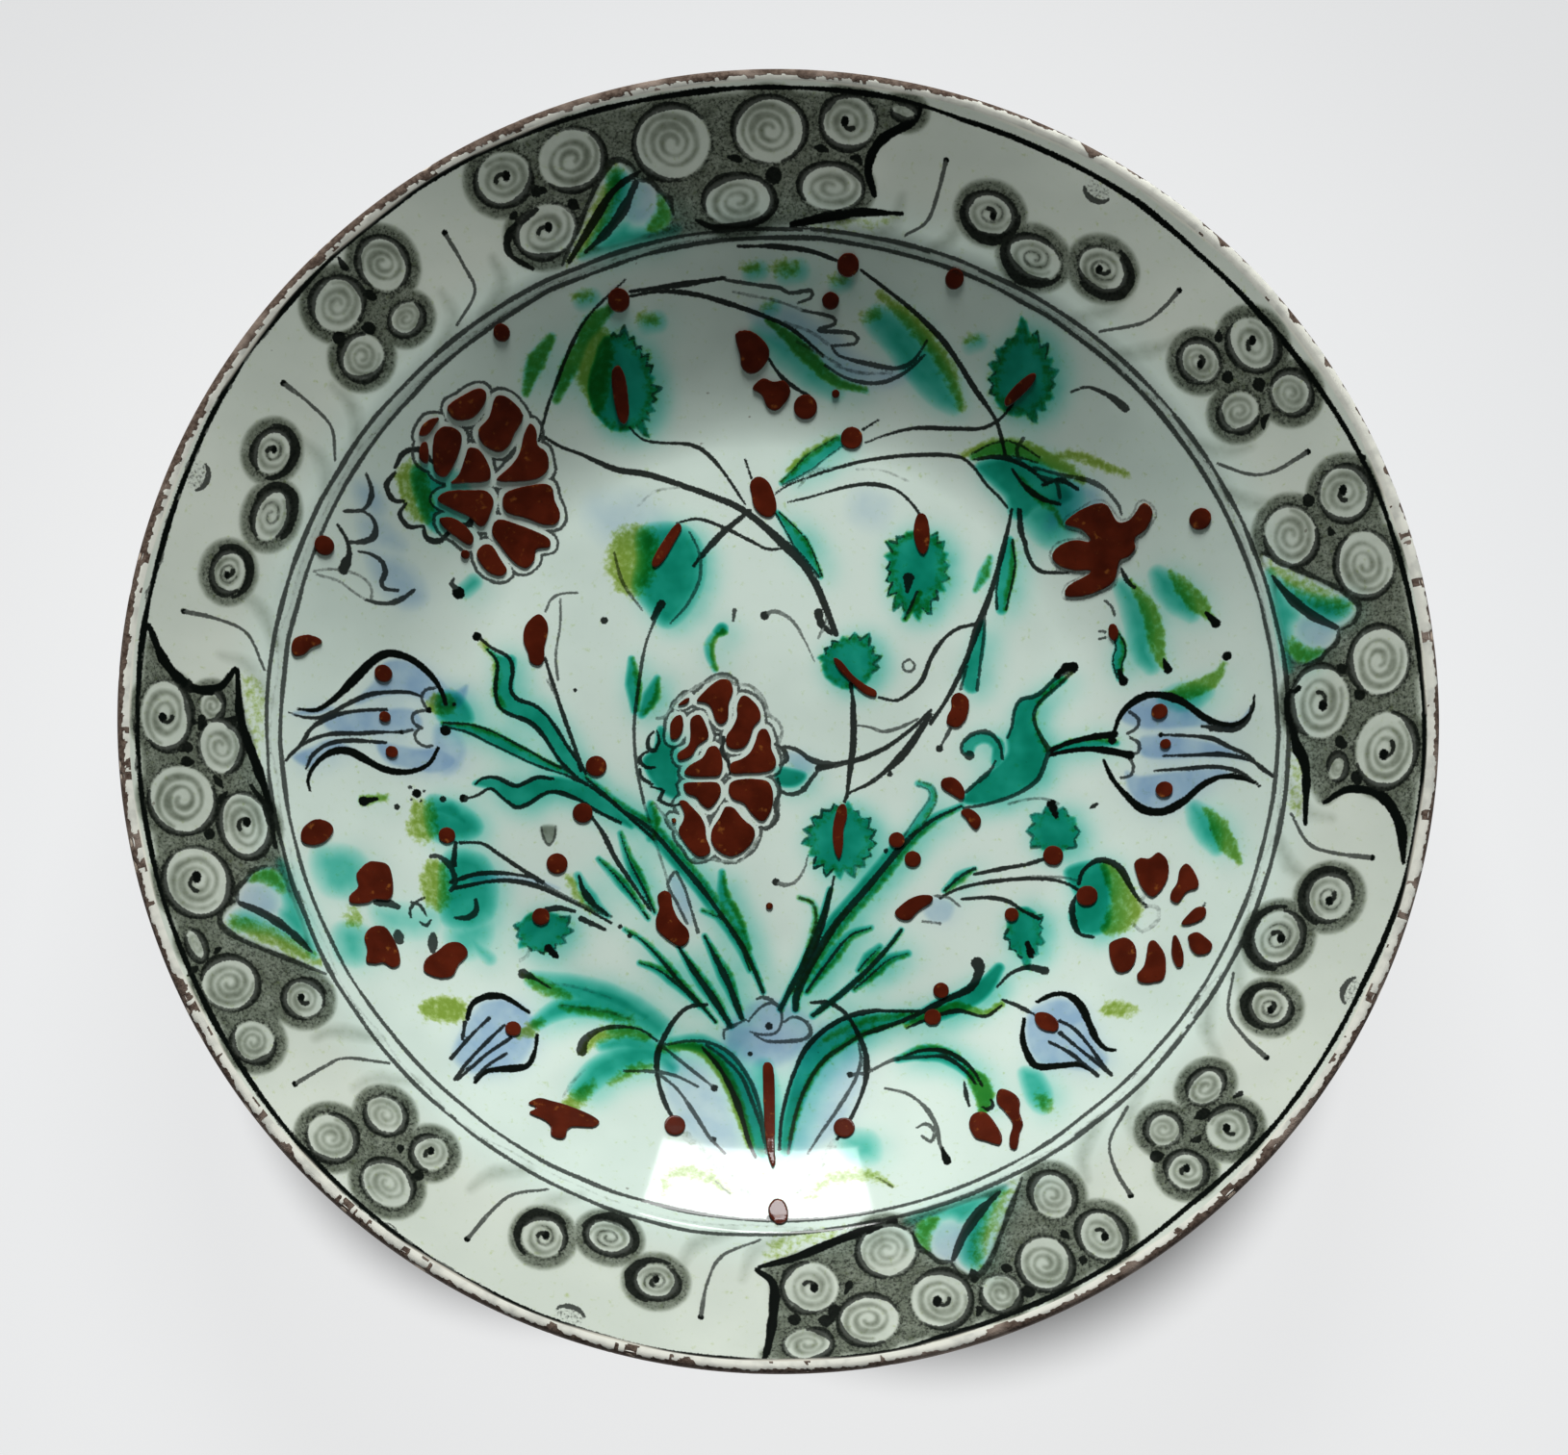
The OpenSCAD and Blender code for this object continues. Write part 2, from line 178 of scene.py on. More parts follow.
# %% The painted floor
GRAIN = 0.33   # distance between points
JOIN_R = 50.0    # floor skin meets wall skins
RING_R = 115.2   # wall skins meet rim skins
SKIN_R = 147.3   # rim skins meet the worn lip
bpy.ops.object.select_all(action="DESELECT")
grid_size = 2 * (JOIN_R + 1)
cells = int(grid_size / GRAIN)
bpy.ops.mesh.primitive_grid_add(x_subdivisions=cells, y_subdivisions=cells, size=grid_size * MM)
floor_skin = bpy.context.object
floor_skin.name = floor_skin.data.name = "painted_floor"
sheet = bmesh.new()
sheet.from_mesh(floor_skin.data)
spare = [v for v in sheet.verts if v.co.xy.length > JOIN_R * MM]
bmesh.ops.delete(sheet, geom=spare, context="VERTS")
for vert in sheet.verts:
    if vert.is_boundary:
        vert.co.xy = vert.co.xy.normalized() * JOIN_R * MM
    vert.co.z = float(face_height(vert.co.xy.length / MM)) * MM
sheet.to_mesh(floor_skin.data)
sheet.free()
floor_skin.data.shade_smooth()
print("floor skin", len(floor_skin.data.vertices), "points")

# %% [markdown]
# Wall and rim are turned in quarters, so that no skin has too many triangles. Every face has to
# look up towards the painter, so a skin that came out upside down is turned over.

# %% Wall and rim skins
skins = [floor_skin]
wall_radii = np.linspace(JOIN_R, RING_R, int((RING_R - JOIN_R) / GRAIN) + 1)
rim_radii = np.linspace(RING_R, SKIN_R, int((SKIN_R - RING_R) / GRAIN) + 1)
for label, radii, middle in (("wall", wall_radii, 86), ("rim", rim_radii, 134)):
    for quarter, side in enumerate(("east", "north", "west", "south")):
        skin = turned(f"painted_{label}_{side}", list(zip(radii, face_height(radii))),
                      start=90 * quarter - 45, sweep=90,
                      steps=int(middle * math.pi / 2 / GRAIN))
        if face_normals(skin)[:, 2].mean() < 0:
            turn_over(skin)
        skins.append(skin)
if face_normals(floor_skin)[:, 2].mean() < 0:
    turn_over(floor_skin)
for skin in skins:
    print(skin.name, len(skin.data.polygons) * 2, "triangles")

# %% [markdown]
# All the skins share one canvas: one long list of points, with one list of numbers per pigment.
# Brush work is then plain geometry. For each point near a stroke, its distance inside the stroke
# is measured, and that distance, not a yes or no, is kept for black line: the finish cuts it off
# sharply and breaks its edge into grains, so the line stays crisp between mesh points.

# %% The canvas
spots = []
for skin in skins:
    co = np.empty(len(skin.data.vertices) * 3)
    skin.data.vertices.foreach_get("co", co)
    spots.append(co.reshape(-1, 3)[:, :2] / MM)
counts = [len(s) for s in spots]
PX, PY = np.vstack(spots).T.copy()
PR = np.hypot(PX, PY)
PA = np.degrees(np.arctan2(PY, PX)) % 360
HALF = 155   # the canvas reaches this far each way from the axis
BIN = 3.0    # width of the small squares that the points are sorted into
bin_wide = int(2 * HALF / BIN)
bin_of = ((PX + HALF) // BIN).astype(int) * bin_wide + ((PY + HALF) // BIN).astype(int)
bin_order = np.argsort(bin_of, kind="stable")
bin_start = np.searchsorted(bin_of[bin_order], np.arange(bin_wide * bin_wide + 1))
canvas = {name: np.zeros(len(PX)) for name in
          ("weight", "copper", "olive", "cobalt", "smoke", "ground", "cream")}
NO_LINE = -1.5   # stored depth where no line is near
canvas["line"] = np.full(len(PX), NO_LINE)
print(len(PX), "points on the canvas")

# %% [markdown]
# A stroke touches few of the points, so only the small squares near it are searched. Shapes are
# typed as short texts of "x,y" pairs, or of "angle,radius" pairs on the border, and rounded.

# %% Paths and distances


def near(low, high):
    """Indices of the canvas points in a box."""
    i0, j0 = ((np.array(low) + HALF) // BIN).astype(int)
    i1, j1 = ((np.array(high) + HALF) // BIN).astype(int)
    rows = []
    for i in range(max(i0, 0), min(i1, bin_wide - 1) + 1):
        first, last = i * bin_wide + max(j0, 0), i * bin_wide + min(j1, bin_wide - 1)
        rows.append(bin_order[bin_start[first]:bin_start[last + 1]])
    return np.concatenate(rows) if rows else np.zeros(0, int)


def points(text):
    """Turns "x,y x,y" into an array of points."""
    return np.array([[float(n) for n in pair.split(",")] for pair in text.split()])


def around(text):
    """The same for points on the border, given as angle,radius."""
    p = points(text) if isinstance(text, str) else text
    a = np.radians(p[:, 0])
    return np.column_stack([p[:, 1] * np.cos(a), p[:, 1] * np.sin(a)])


def smooth(p, closed=False, step=0.8):
    """A rounded path through the points."""
    if len(p) < 3 and not closed:
        return np.linspace(p[0], p[-1], 8)
    ends = (p[-1], p[0], p[1]) if closed else (2 * p[0] - p[1], 2 * p[-1] - p[-2], p[-1])
    q = np.vstack([ends[0], p, ends[1], ends[2]])
    out = []
    for i in range(1, len(p) + (1 if closed else 0)):
        a, b, c, d = q[i - 1], q[i], q[i + 1], q[i + 2]
        n = max(2, int(np.hypot(*(c - b)) / step))
        t = np.linspace(0, 1, n, endpoint=False)[:, None]
        out.append(0.5 * (2 * b + (c - a) * t + (2 * a - 5 * b + 4 * c - d) * t ** 2
                          + (3 * b - a - 3 * c + d) * t ** 3))
    if not closed:
        out.append(p[-1:])
    return np.vstack(out)


def inside_stroke(path, widths, reach):
    """For points near a path: their indices and how far inside the stroke they are."""
    widths = np.atleast_1d(np.asarray(widths, float))
    along = np.linspace(0, len(widths) - 1, len(path))
    half = np.interp(along, np.arange(len(widths)), widths) / 2
    best_i, best_d = [], []
    for k in range(0, len(path) - 1, 7):
        a, b = path[k:k + 7], path[k + 1:k + 8]
        a = a[:len(b)]
        ha, hb = half[k:k + len(a)], half[k + 1:k + 1 + len(b)]
        pad = max(ha.max(), hb.max()) + reach
        idx = near(np.vstack([a, b]).min(0) - pad, np.vstack([a, b]).max(0) + pad)
        if not len(idx):
            continue
        ab = b - a
        ap = np.column_stack([PX[idx], PY[idx]])[:, None, :] - a[None]
        t = np.clip((ap * ab).sum(2) / np.maximum((ab ** 2).sum(1), 1e-9), 0, 1)
        gap = np.hypot(*(ap - t[..., None] * ab).transpose(2, 0, 1))
        depth = (ha + (hb - ha) * t - gap).max(1)
        best_i.append(idx)
        best_d.append(depth)
    if not best_i:
        return np.zeros(0, int), np.zeros(0)
    idx, depth = np.concatenate(best_i), np.concatenate(best_d)
    order = np.lexsort((-depth, idx))
    idx, depth = idx[order], depth[order]
    first = np.r_[True, idx[1:] != idx[:-1]]
    return idx[first], depth[first]


def inside_outline(outline, reach):
    """For points near a closed outline: their indices and how far inside it they are."""
    idx = near(outline.min(0) - reach, outline.max(0) + reach)
    p = np.column_stack([PX[idx], PY[idx]])
    a, b = outline, np.roll(outline, -1, 0)
    gap = np.full(len(idx), 1e9)
    odd = np.zeros(len(idx), bool)
    for s, e in zip(a, b):
        se = e - s
        t = np.clip(((p - s) @ se) / max(se @ se, 1e-9), 0, 1)
        gap = np.minimum(gap, np.hypot(*(p - s - t[:, None] * se).T))
        if s[1] != e[1]:
            cross = (s[1] > p[:, 1]) != (e[1] > p[:, 1])
            odd ^= cross & (p[:, 0] < se[0] * (p[:, 1] - s[1]) / se[1] + s[0])
    return idx, np.where(odd, gap, -gap)


# %% [markdown]
# Four ways to load the brush: a black or grey line; a soft stroke of wash; a filled patch of
# wash; and a dot. A fifth tool wipes pigment away again, and a leaf joins strokes and lines.
# Lines press and lift, so each takes a few widths along its length.

# %% Brushes
PRESS = 1.35   # brush lines are this much wider than their noted width


def put_line(idx, depth, tone):
    """Keeps the deepest line at each point, and its tone."""
    better = depth > canvas["line"][idx]
    idx, depth = idx[better], depth[better]
    canvas["line"][idx] = np.minimum(depth, -NO_LINE)
    canvas["weight"][idx] = tone


def put_wash(pigment, idx, depth, strength, soft):
    """Keeps the strongest wash at each point; soft is half the width of its edge."""
    amount = strength * np.clip(0.5 + depth / (2 * soft), 0, 1)
    canvas[pigment][idx] = np.maximum(canvas[pigment][idx], amount)


def as_path(shape, closed=False):
    """A rounded path from a text or an array."""
    return smooth(points(shape) if isinstance(shape, str) else shape, closed)


def line(width, shape, tone=0.95):
    """A brush line."""
    path = as_path(shape)
    widths = np.interp(np.linspace(0, 1, 12), np.linspace(0, 1, np.size(width)),
                       np.atleast_1d(width))
    widths = PRESS * widths * (1 + 0.12 * rng.standard_normal(12))
    idx, depth = inside_stroke(path, widths, 1.0)
    put_line(idx, depth, tone)


def lines(width, *shapes, tone=0.95):
    """Several brush lines of one kind."""
    for shape in shapes:
        line(width, shape, tone)


def stroke(pigment, width, shape, strength=0.9, soft=0.6):
    """A soft stroke of wash."""
    idx, depth = inside_stroke(as_path(shape), width, soft + 0.3)
    put_wash(pigment, idx, depth, strength, soft)


def patch(pigment, shape, strength=0.9, soft=0.6):
    """A filled patch of wash."""
    idx, depth = inside_outline(as_path(shape, closed=True), soft + 0.3)
    put_wash(pigment, idx, depth, strength, soft)


def wipe(idx, depth, *pigments):
    """Clears pigment inside a shape, with a slightly soft edge."""
    keep = 1 - np.clip(0.5 + depth / 0.8, 0, 1)
    for pigment in pigments:
        canvas[pigment][idx] *= keep


def dot(x, y, size, tone=1.0, tall=1.0):
    """A black dot."""
    idx = near((x - size * 2 - 1, y - size * 2 - 1), (x + size * 2 + 1, y + size * 2 + 1))
    gap = size - np.hypot(PX[idx] - x, (PY[idx] - y) / tall)
    put_line(idx, gap, tone)


def dots(text, tone=1.0):
    """Several dots, each given as x,y,size."""
    for x, y, size in points(text):
        dot(x, y, size, tone)


def leaf(width, shape, copper=0.9, olive=0.0, rib=0.0, edge=0.0, tone=0.9):
    """A slender leaf: a body of wash, with a dark rib or dark edges."""
    path = as_path(shape)
    widths = np.interp(np.linspace(0, 1, len(path)), np.linspace(0, 1, np.size(width)),
                       np.atleast_1d(width))
    way = np.gradient(path, axis=0)
    way /= np.maximum(np.hypot(*way.T), 1e-9)[:, None]
    side = np.column_stack([-way[:, 1], way[:, 0]]) * widths[:, None] / 2
    two_tone = copper >= 0.5
    if copper:
        stroke("copper", width, path, copper, 0.5)
    if olive and two_tone:
        stroke("olive", np.maximum(np.atleast_1d(width) * 0.5, 0.8), path + 0.75 * side, min(1.0,
            olive + 0.35), 0.5)
    elif olive:
        stroke("olive", width, path, olive, 0.5)
    if rib:
        line(rib, path, tone)
    if edge:
        line(edge, path + side, tone)
        line(edge, path - side, tone)

# %% [markdown]
# The bouquet springs from a tuft at the bottom of the floor. Its stems go down first, as a
# painter would, in one pull each: thin where the brush lands, thick where it is pressed.

# %% Stems
lines((0.5, 1.1, 0.6), "-34,102.5 -12,106",
    "-34,101.5 -27,102.8 -19,102.5 -12,101 -5,99 2,96.5 6,94 11,90",
    "-9,112.5 0,112.5 8,111.5 14,109.5", "19.5,107.5 26,103 32,98.5 38,93 42,88 46,82 49,78 "
    "51.5,74 53.5,67")
lines((0.4, 0.8, 0.5), "-2,90 1,86 5,83 8,81.5",
    "-34,74 -31,71.5 -27,70.8 -20,70.5 -16,68.5 -12,64 -7,56.5",
    "0,59 3,61 8,63 14,65 22,67 32,68 42,67.5 46,65 49,61 52,58 54,55.5",
    "21,71 27,73 33,74 42,73.5 48,73.3 52,75 55,78",
    "3,57 9,58.5 16,60.5 22,61.3 28,60 32,56.5 34,53.5", "-23,52 -18,53 -12,51 -6,48 -2,46 1,46",
    "-35,105 -45,95 -52,80 -55,70")
line((0.6, 1.0, 1.2, 1.6, 1.2), "-54,71 -50,69 -45,67.5 -37,64.5 -30,63.5 -22,61 -15,58.5 -9,56 "
    "-4,52.5 1,48 6,43 9,38.5 11,34 14,26")
lines((0.7, 1.3, 0.8), "-19,42 -13,49 -6,55", "55,55 54,50 52,42 49.5,34 47,27.5 44,19 40,11 36,5")
lines((0.5, 0.9, 0.6), "57,55 58,47 61,41 68,40", "80,40 81.5,37 83,35.5",
    "24,11 28,10.3 31,12 34,15 36,20 38.5,24 42,27 47,28.5")
lines(0.5, "20.5,74 24,76", "-7,67 -5.5,62.5")
line((0.5, 0.6, 1.5), "68,79.5 72,80.2 77,77.8 80.6,74.8", 0.9)
line((0.8, 1.6, 1.0, 0.7), "36,7 31,-0.5 27.5,-4.5 22,-9 17,-11.5 16,-13.5", 0.95)
line((1.2, 0.9, 0.6), "10,-5.5 15,-4.5 20,-3.3 26,-0.5 32,4 36,8")
line((0.4, 0.8, 0.4), "19,4.5 22,4 25,3 29,4 33,6", 0.75)
line((0.8, 1.4, 0.6), "17.5,14 18,9 18,0 17,-8 16.5,-12.5")
line(0.6, "-26.5,32 -28.5,28 -30.5,22 -32,12 -32.8,4 -32.3,-5 -30.5,-14", 0.85)
line(0.5, "-30.5,-14 -27.5,-24 -25,-32", 0.55)
lines(0.5, "-50,34 -50,28 -51,21 -50.5,15", "-53.5,31 -52,34 -49.5,35.3 -46,35.5", tone=0.75)
lines((0.6, 0.9), "-53.5,20 -51,12 -49,6 -46.5,-1 -45,-6",
    "-73,-23.5 -68,-23.5 -64,-26 -58,-30 -54,-32.5")
line(0.4, "-53,15 -50,9 -47.5,2", 0.6)
lines((0.7, 1.0, 0.5), "-43,-16.5 -40,-21 -37,-27 -33,-33 -29,-39",
    "-75,-33 -70,-31 -66,-30.4 -61,-30.6 -56,-31.5",
    "-74.5,-34.5 -71,-33.6 -66,-32.4 -61,-32.2 -55,-33.5 -47,-37 -38,-42")
line(0.5, "-56,-31.5 -50,-35 -44,-38 -38,-40.5", 0.7)
lines((1.2, 0.7), "-53,-39 -50,-38.5 -46.5,-39.3", "-45,-41 -39.5,-43.5", "-74.5,-28.7 -74,-23.5")
lines((0.6, 0.9, 0.7), "38,-36 42,-34 48,-32.5 55,-31.7 62,-31.5 67,-32.7 70,-34.5",
    "43,-36.3 50,-36 54,-37 57,-39 61,-41", "46,-30.5 52,-29.3 58,-28.2 62,-27")
lines(0.5, "59,-31 66,-31.3 70,-32.3", "54,-14 58,-13 62,-12.8 65.5,-14", "9,40 12,31 10,25", tone=0.6)
line((0.5, 0.8, 0.5), "13.5,-31 12.5,-36 11,-42 9,-48 6,-54")
lines(0.45, "19,64.8 25,64.5 31,62", "-32,56 -28,59.5 -22,60.5", "5.5,60.5 9,64.5 14,65", tone=0.4)
lines((0.9, 0.5, 0.3), "-2.5,30.3 0,31.3 4,29 7,24 9,19.5", "0,-32.3 2,-33 4.5,-32.3 6.5,-29.5 7.5,-26",
    tone=0.7)
lines((0.9, 0.4), "40.5,3.5 38,-1", "-9.5,31.5 -9.8,29", "96,-44 98,-40", tone=0.85)
dots("-2.5,30.3,1.1 38,-1,0.9 -39.8,29,0.9 25.5,-25,0.6 -87.5,-16.3,0.6 0,-32.3,0.9 26.5,-7,0.7 "
    "-46.5,12.6,0.5", 0.95)
print("stems drawn")

# %% [markdown]
# Feather leaves and arcs fill the top. Each is a run of granular olive and green dabs, so they
# are laid as short strokes of olive over thinner copper.

# %% Feather leaves
patch("cobalt", "-6,99 3,100 9,97 14,94 18,90 26,87 31,86 26,83.5 18,84 8,89 0,94", 0.42, 1.6)
lines((0.5, 0.8, 0.5), "-12,105.6 -4,104.6 1,104 3,103 8,103.5 8,102 5,101",
    "6,99.5 13,98 13.5,96.5 10,95.3 18,94.5 18.5,92.5 13,92",
    "13,92 14,90.5 16,89.5 22,88 28,87 32,88.5 35,92.5", "11.5,88 17,85 24,84 30,86 34.5,89.5",
    tone=0.85)
lines(0.5, "-10,103.2 0,101.4 6,99.5", "2,97 8,95 12,92.5", "5,93 10,90.5 15,88",
    "14,87.8 20,86.2 27,86", tone=0.55)
leaf((1.2, 3.4, 2.4, 1.0), "-2,97.5 4,93 9,88.5 14,84.5 21,82.5", 0.35, 0.8)
stroke("copper", (2, 5, 5, 2), "-4,95 2,91 8,86.5 14,82.5", 0.3, 2.0)
patch("copper", "23,99 29,97 35,91 40,84 42,78 37,80 31,86 26,92 22,96", 0.55, 1.8)
stroke("olive", (1.5, 3.2, 3.0, 1.5), "24,102.5 31,97 37,90.5 41.5,83 43,78", 0.8, 1.0)
for shape in ("-44,93 -48,86 -51,79", "-52,92 -56,86 -58,80", "-38,99 -43,95 -46,90"):
    leaf((1.6, 4.0, 1.6), shape, 0.35, 0.75)
for x, y, size in points("2,108,3.2 -6,108,2.2 14,105.5,2 -45,101,2.4 -30,97,2.6 22,98,2.4 45,92,2 "
        "-2,100.5,1.6"):
    stroke("olive", size, [(x - size * 0.6, y), (x + size * 0.6, y + 0.3)], 0.55, 1.0)
    stroke("copper", size, [(x, y - 1), (x + size, y - 0.4)], 0.3, 1.4)
for shape in ("82,37 85,32.5 87,28 88,23 89,18.5 90,16", "91,38 95,33 99,28 100.5,26",
        "103,16 101.5,13.5 98.5,11.5 94.5,10.4 90,10.2",
        "98.5,-17.5 101,-21 102.5,-25 104.5,-28.7 106,-31"):
    leaf((1.0, 3.6, 4.0, 1.0), shape, 0.1, 0.75)
for shape in ("80,36 83,31 84.5,26 85,21 87,17", "88,38 92,33 96,28", "99,9.8 95,9.3 90,9.6",
        "96,-17 99,-22 101,-27"):
    stroke("copper", (1.5, 4.5, 4.5, 1.5), shape, 0.55, 1.6)
lines((0.5, 1.6), "89.6,18.5 90.6,16", "99,28 101.2,25.3", tone=1.0)
dots("103.6,17.6,1.1 -69.3,25,1.1 -72.3,-13,1", 1.0)
leaf((1.2, 2.6, 1.0), "78.8,25.5 80,22 79.3,18.5 79.8,15", 0.8, 0.3, edge=0.4)
line((0.6, 1.5), "79.6,16.8 80.6,14.3", 1.0)
lines(0.5, "76.5,33 78,31.5 78.6,29.5", "75.2,26.2 76.5,25.9", "75.2,24.4 76.6,24.6", tone=0.8)

# %% [markdown]
# The serrated leaves are rounds of copper green with a toothed border. One recipe makes them
# all: a soft body with teeth on part of its edge, an olive border, and a broken dark outline.

# %% Serrated leaves


def serrated(x, y, wide, tall, teeth=18, tip=None, first=0.0, last=360.0, olive=0.5, copper=0.95,
        point=0.3):
    """A ragged leaf: teeth between two angles, and a longer point towards the tip angle."""

    def at(angle, scale):
        a = math.radians(angle)
        longer = 0.0 if tip is None else point * max(0.0, math.cos(a - math.radians(tip))) ** 5
        scale = scale * (1 + longer)
        return (x + wide * scale * math.cos(a), y + tall * scale * math.sin(a))

    notch = 0.84
    span = last - first
    toothed = []
    for k in range(teeth):
        a, step = first + span * k / teeth, span / teeth
        reach = 1.0 + 0.07 * rng.standard_normal()
        toothed += [at(a, notch), at(a + step * 0.35, 0.95 * reach), at(a + step * 0.62, 1.03 * reach)]
    toothed.append(at(last, notch))
    rest = [at(a, notch + 0.05 * rng.random()) for a in np.arange(last + 8, first + 360 - 4, 14)]
    body = np.array(toothed + rest)
    idx, depth = inside_outline(body, 1.0)
    put_wash("copper", idx, depth, copper, 0.35)
    idx, depth = inside_outline(body, 2.2)
    put_wash("olive", idx, np.minimum(depth + 0.2, 1.5 - depth), olive * 0.8, 0.9)
    for k in range(0, teeth, 3):
        piece = np.array(toothed[3 * k:3 * k + 3 * int(rng.integers(2, 4)) + 1])
        if len(piece) > 1:
            path = np.vstack([np.linspace(p, q, 5) for p, q in zip(piece[:-1], piece[1:])])
            widths = 0.55 * (1 + 0.35 * rng.standard_normal(12))
            put_line(*inside_stroke(path, np.clip(widths, 0.2, 1.0), 1.0), 0.5 + 0.4 * rng.random())


serrated(-36, 82, 8.6, 10.5, 12, tip=98, first=-60, last=105, olive=0.6, point=0.3)
patch("copper", "-31,49.5 -26,51 -21,50 -18,46 -17.5,40 -20,33 -25,28.5 -29,32 -32,37 -31,43", 0.85,
    1.7)
lines((0.4, 0.7, 0.4), "-20,50 -17.7,45 -17.6,39 -20.4,33 -24.5,28.3", "-37.5,45 -35.5,38 -31,31.5",
    tone=0.7)
serrated(33, 42, 7.6, 9.6, 17, tip=262, first=120, last=420, olive=0.6, point=0.3)
serrated(57, 82.5, 7.8, 8.2, 14, tip=96, first=-80, last=200, olive=0.6, point=0.45)
serrated(17, 18.8, 7.0, 6.6, 9, tip=60, first=-20, last=175, olive=0.5, point=0.15)
serrated(15, -22.5, 8.2, 8.2, 17, tip=80, first=-40, last=320, olive=0.4, point=0.1)
serrated(64.5, -20.5, 6, 5.6, 8, first=-60, last=230, olive=0.3)
serrated(-54.5, -44, 5.8, 5.2, 9, tip=20, first=150, last=400, olive=0.35)
serrated(57.3, -43.5, 4.4, 6.2, 8, tip=270, first=180, last=400, olive=0.3)
patch("copper", "-80,-14 -75,-14.5 -70,-17.5 -69,-20.5 -74,-22.5 -79,-22", 0.8, 1.5)
stroke("copper", (1.5, 3.5, 2.0), "-79.5,-16 -75.5,-16 -72,-18.5", 1.1, 1.0)
patch("olive", "-84,-14.5 -80,-14 -78.5,-17 -78.5,-22 -81,-24 -85,-22 -84.5,-18", 0.62, 1.1)
dots("-77,-13.4,0.8 -72,-13,0.9 -87.5,-16,0.7", 0.95)
patch("olive", "-39,46 -36,50.5 -30,51 -27.5,47 -28.5,40 -32,35 -37,36.5 -39,41", 0.72, 1.6)
patch("olive", "-46,90 -42,95 -38,92 -39,84 -41,76 -44,80 -46,84", 0.85, 1.0)
lines((1.6, 0.8), "64,-14.2 65,-17", "-52.5,-48 -50.5,-50", "59,-49.5 58,-46.5", tone=1.0)
leaf((2.0, 1.0), "33,36 31.5,32.5 30,29.5", 0.7, 0.6, rib=0.5)
lines((1.6, 0.8), "-26.5,33 -28.5,29.5", "31,39 30.7,36", "10,31 10.6,28.5 13,26", tone=0.95)
print("serrated leaves drawn")

# %% [markdown]
# Long blades fan out from the tuft. A blade is a tapering stroke of copper with its rib pulled
# through it in near-black, so each row gives its widths, its path and how heavy the rib is.

# %% Blades
blades = (
    ((1.2, 3.6, 3.2, 1.0), "-44,-8 -36,-15 -29,-20 -22,-28 -17,-34 -12,-41 -8,-47 -5,-53 -3,-58", 1.0),
    ((0.6, 2.4, 1.0), "-17,-39 -12,-41.5 -8.5,-47 -6,-53", 0.5),
    ((0.8, 3.2, 1.0), "-16.5,-45 -14,-50 -11,-56 -8,-64", 1.2),
    ((0.8, 2.8, 1.2), "-22.5,-47.5 -19,-53 -14.5,-59.5 -10.5,-66", 1.3),
    ((0.6, 2.0, 0.6), "-35,-43.5 -31,-46 -27,-50 -22,-56 -17,-61.5 -14,-65", 0.7),
    ((0.8, 2.4, 0.8), "-31.5,-51.3 -27,-53 -22,-57 -17.5,-61.5", 0.6),
    ((0.8, 2.2, 0.6), "-41,-27 -37,-31 -33,-36 -29.5,-41", 0.5),
    ((0.8, 2.6, 0.6), "-36,-21 -34,-27 -31,-33 -28,-39.5", 0.6),
    ((0.8, 1.8, 1.2), "12.5,-34 10.5,-41 7,-50 3,-58 1,-62", 1.2),
    ((1.0, 4.2, 4.0, 1.4), "43,-14.5 36,-18 30,-23 25,-29 20,-35 14,-42 9,-50 5,-58 4.5,-62", 1.4),
    ((0.8, 3.0, 1.2), "22,-43 17,-45 12,-51 7,-58", 0.7),
    ((0.8, 3.2, 1.0), "16,-38.5 12.5,-43 8.5,-50 5,-57", 0.6),
    ((0.7, 1.2, 1.2), "29,-43.5 26,-47.5 21,-53 15,-58.5 8.5,-63.5", 1.3),
    ((1.2, 2.6, 0.8), "30.5,-49 26,-50.5 22,-54 18,-57.5", 0.5),
    ((1.2, 2.6, 0.8), "24,-47.5 21.5,-50 19,-53", 0.4))
for width, shape, rib in blades:
    leaf(width, shape, 0.85, 0.25 if rib < 1 else 0.1, rib=(0.4 * rib, rib, 0.8 * rib))
for shape in ("-12.5,-30 -12,-36 -9,-42 -6.5,-48", "-33.5,20 -33,14 -32.5,8", "-27.5,15.5 -29,11 -31,7",
        "-29,-14 -28.5,-19 -29,-22"):
    leaf((1.0, 3.4, 1.6), shape, 0.8, 0.35)
leaf((1.0, 1.6, 1.0), "5.5,-36 8.5,-37.3 9.3,-41 8,-46 6.5,-51", 0.3, 0.6, rib=0.5, tone=0.7)
leaf((1.0, 2.2, 0.8), "33,-9.2 35.8,-10.2 36.4,-13 34,-17 31,-21 28,-25", 0.6, 0.1, edge=0.4, tone=0.6)
leaf((1.0, 2.0, 0.8), "-12.5,27 -15,24.5 -15.3,21 -14,17.5", 0.5, 0.7)
leaf((2.6, 1.6), "-12.5,27 -13.6,26.3", 0.9, 0.9)
print(len(blades), "blades drawn")

# %% [markdown]
# Big leaves curl up at the sides. A curled leaf bends back on itself, which no tapering stroke
# can do, so it is a patch of copper with its two edges drawn as lines.

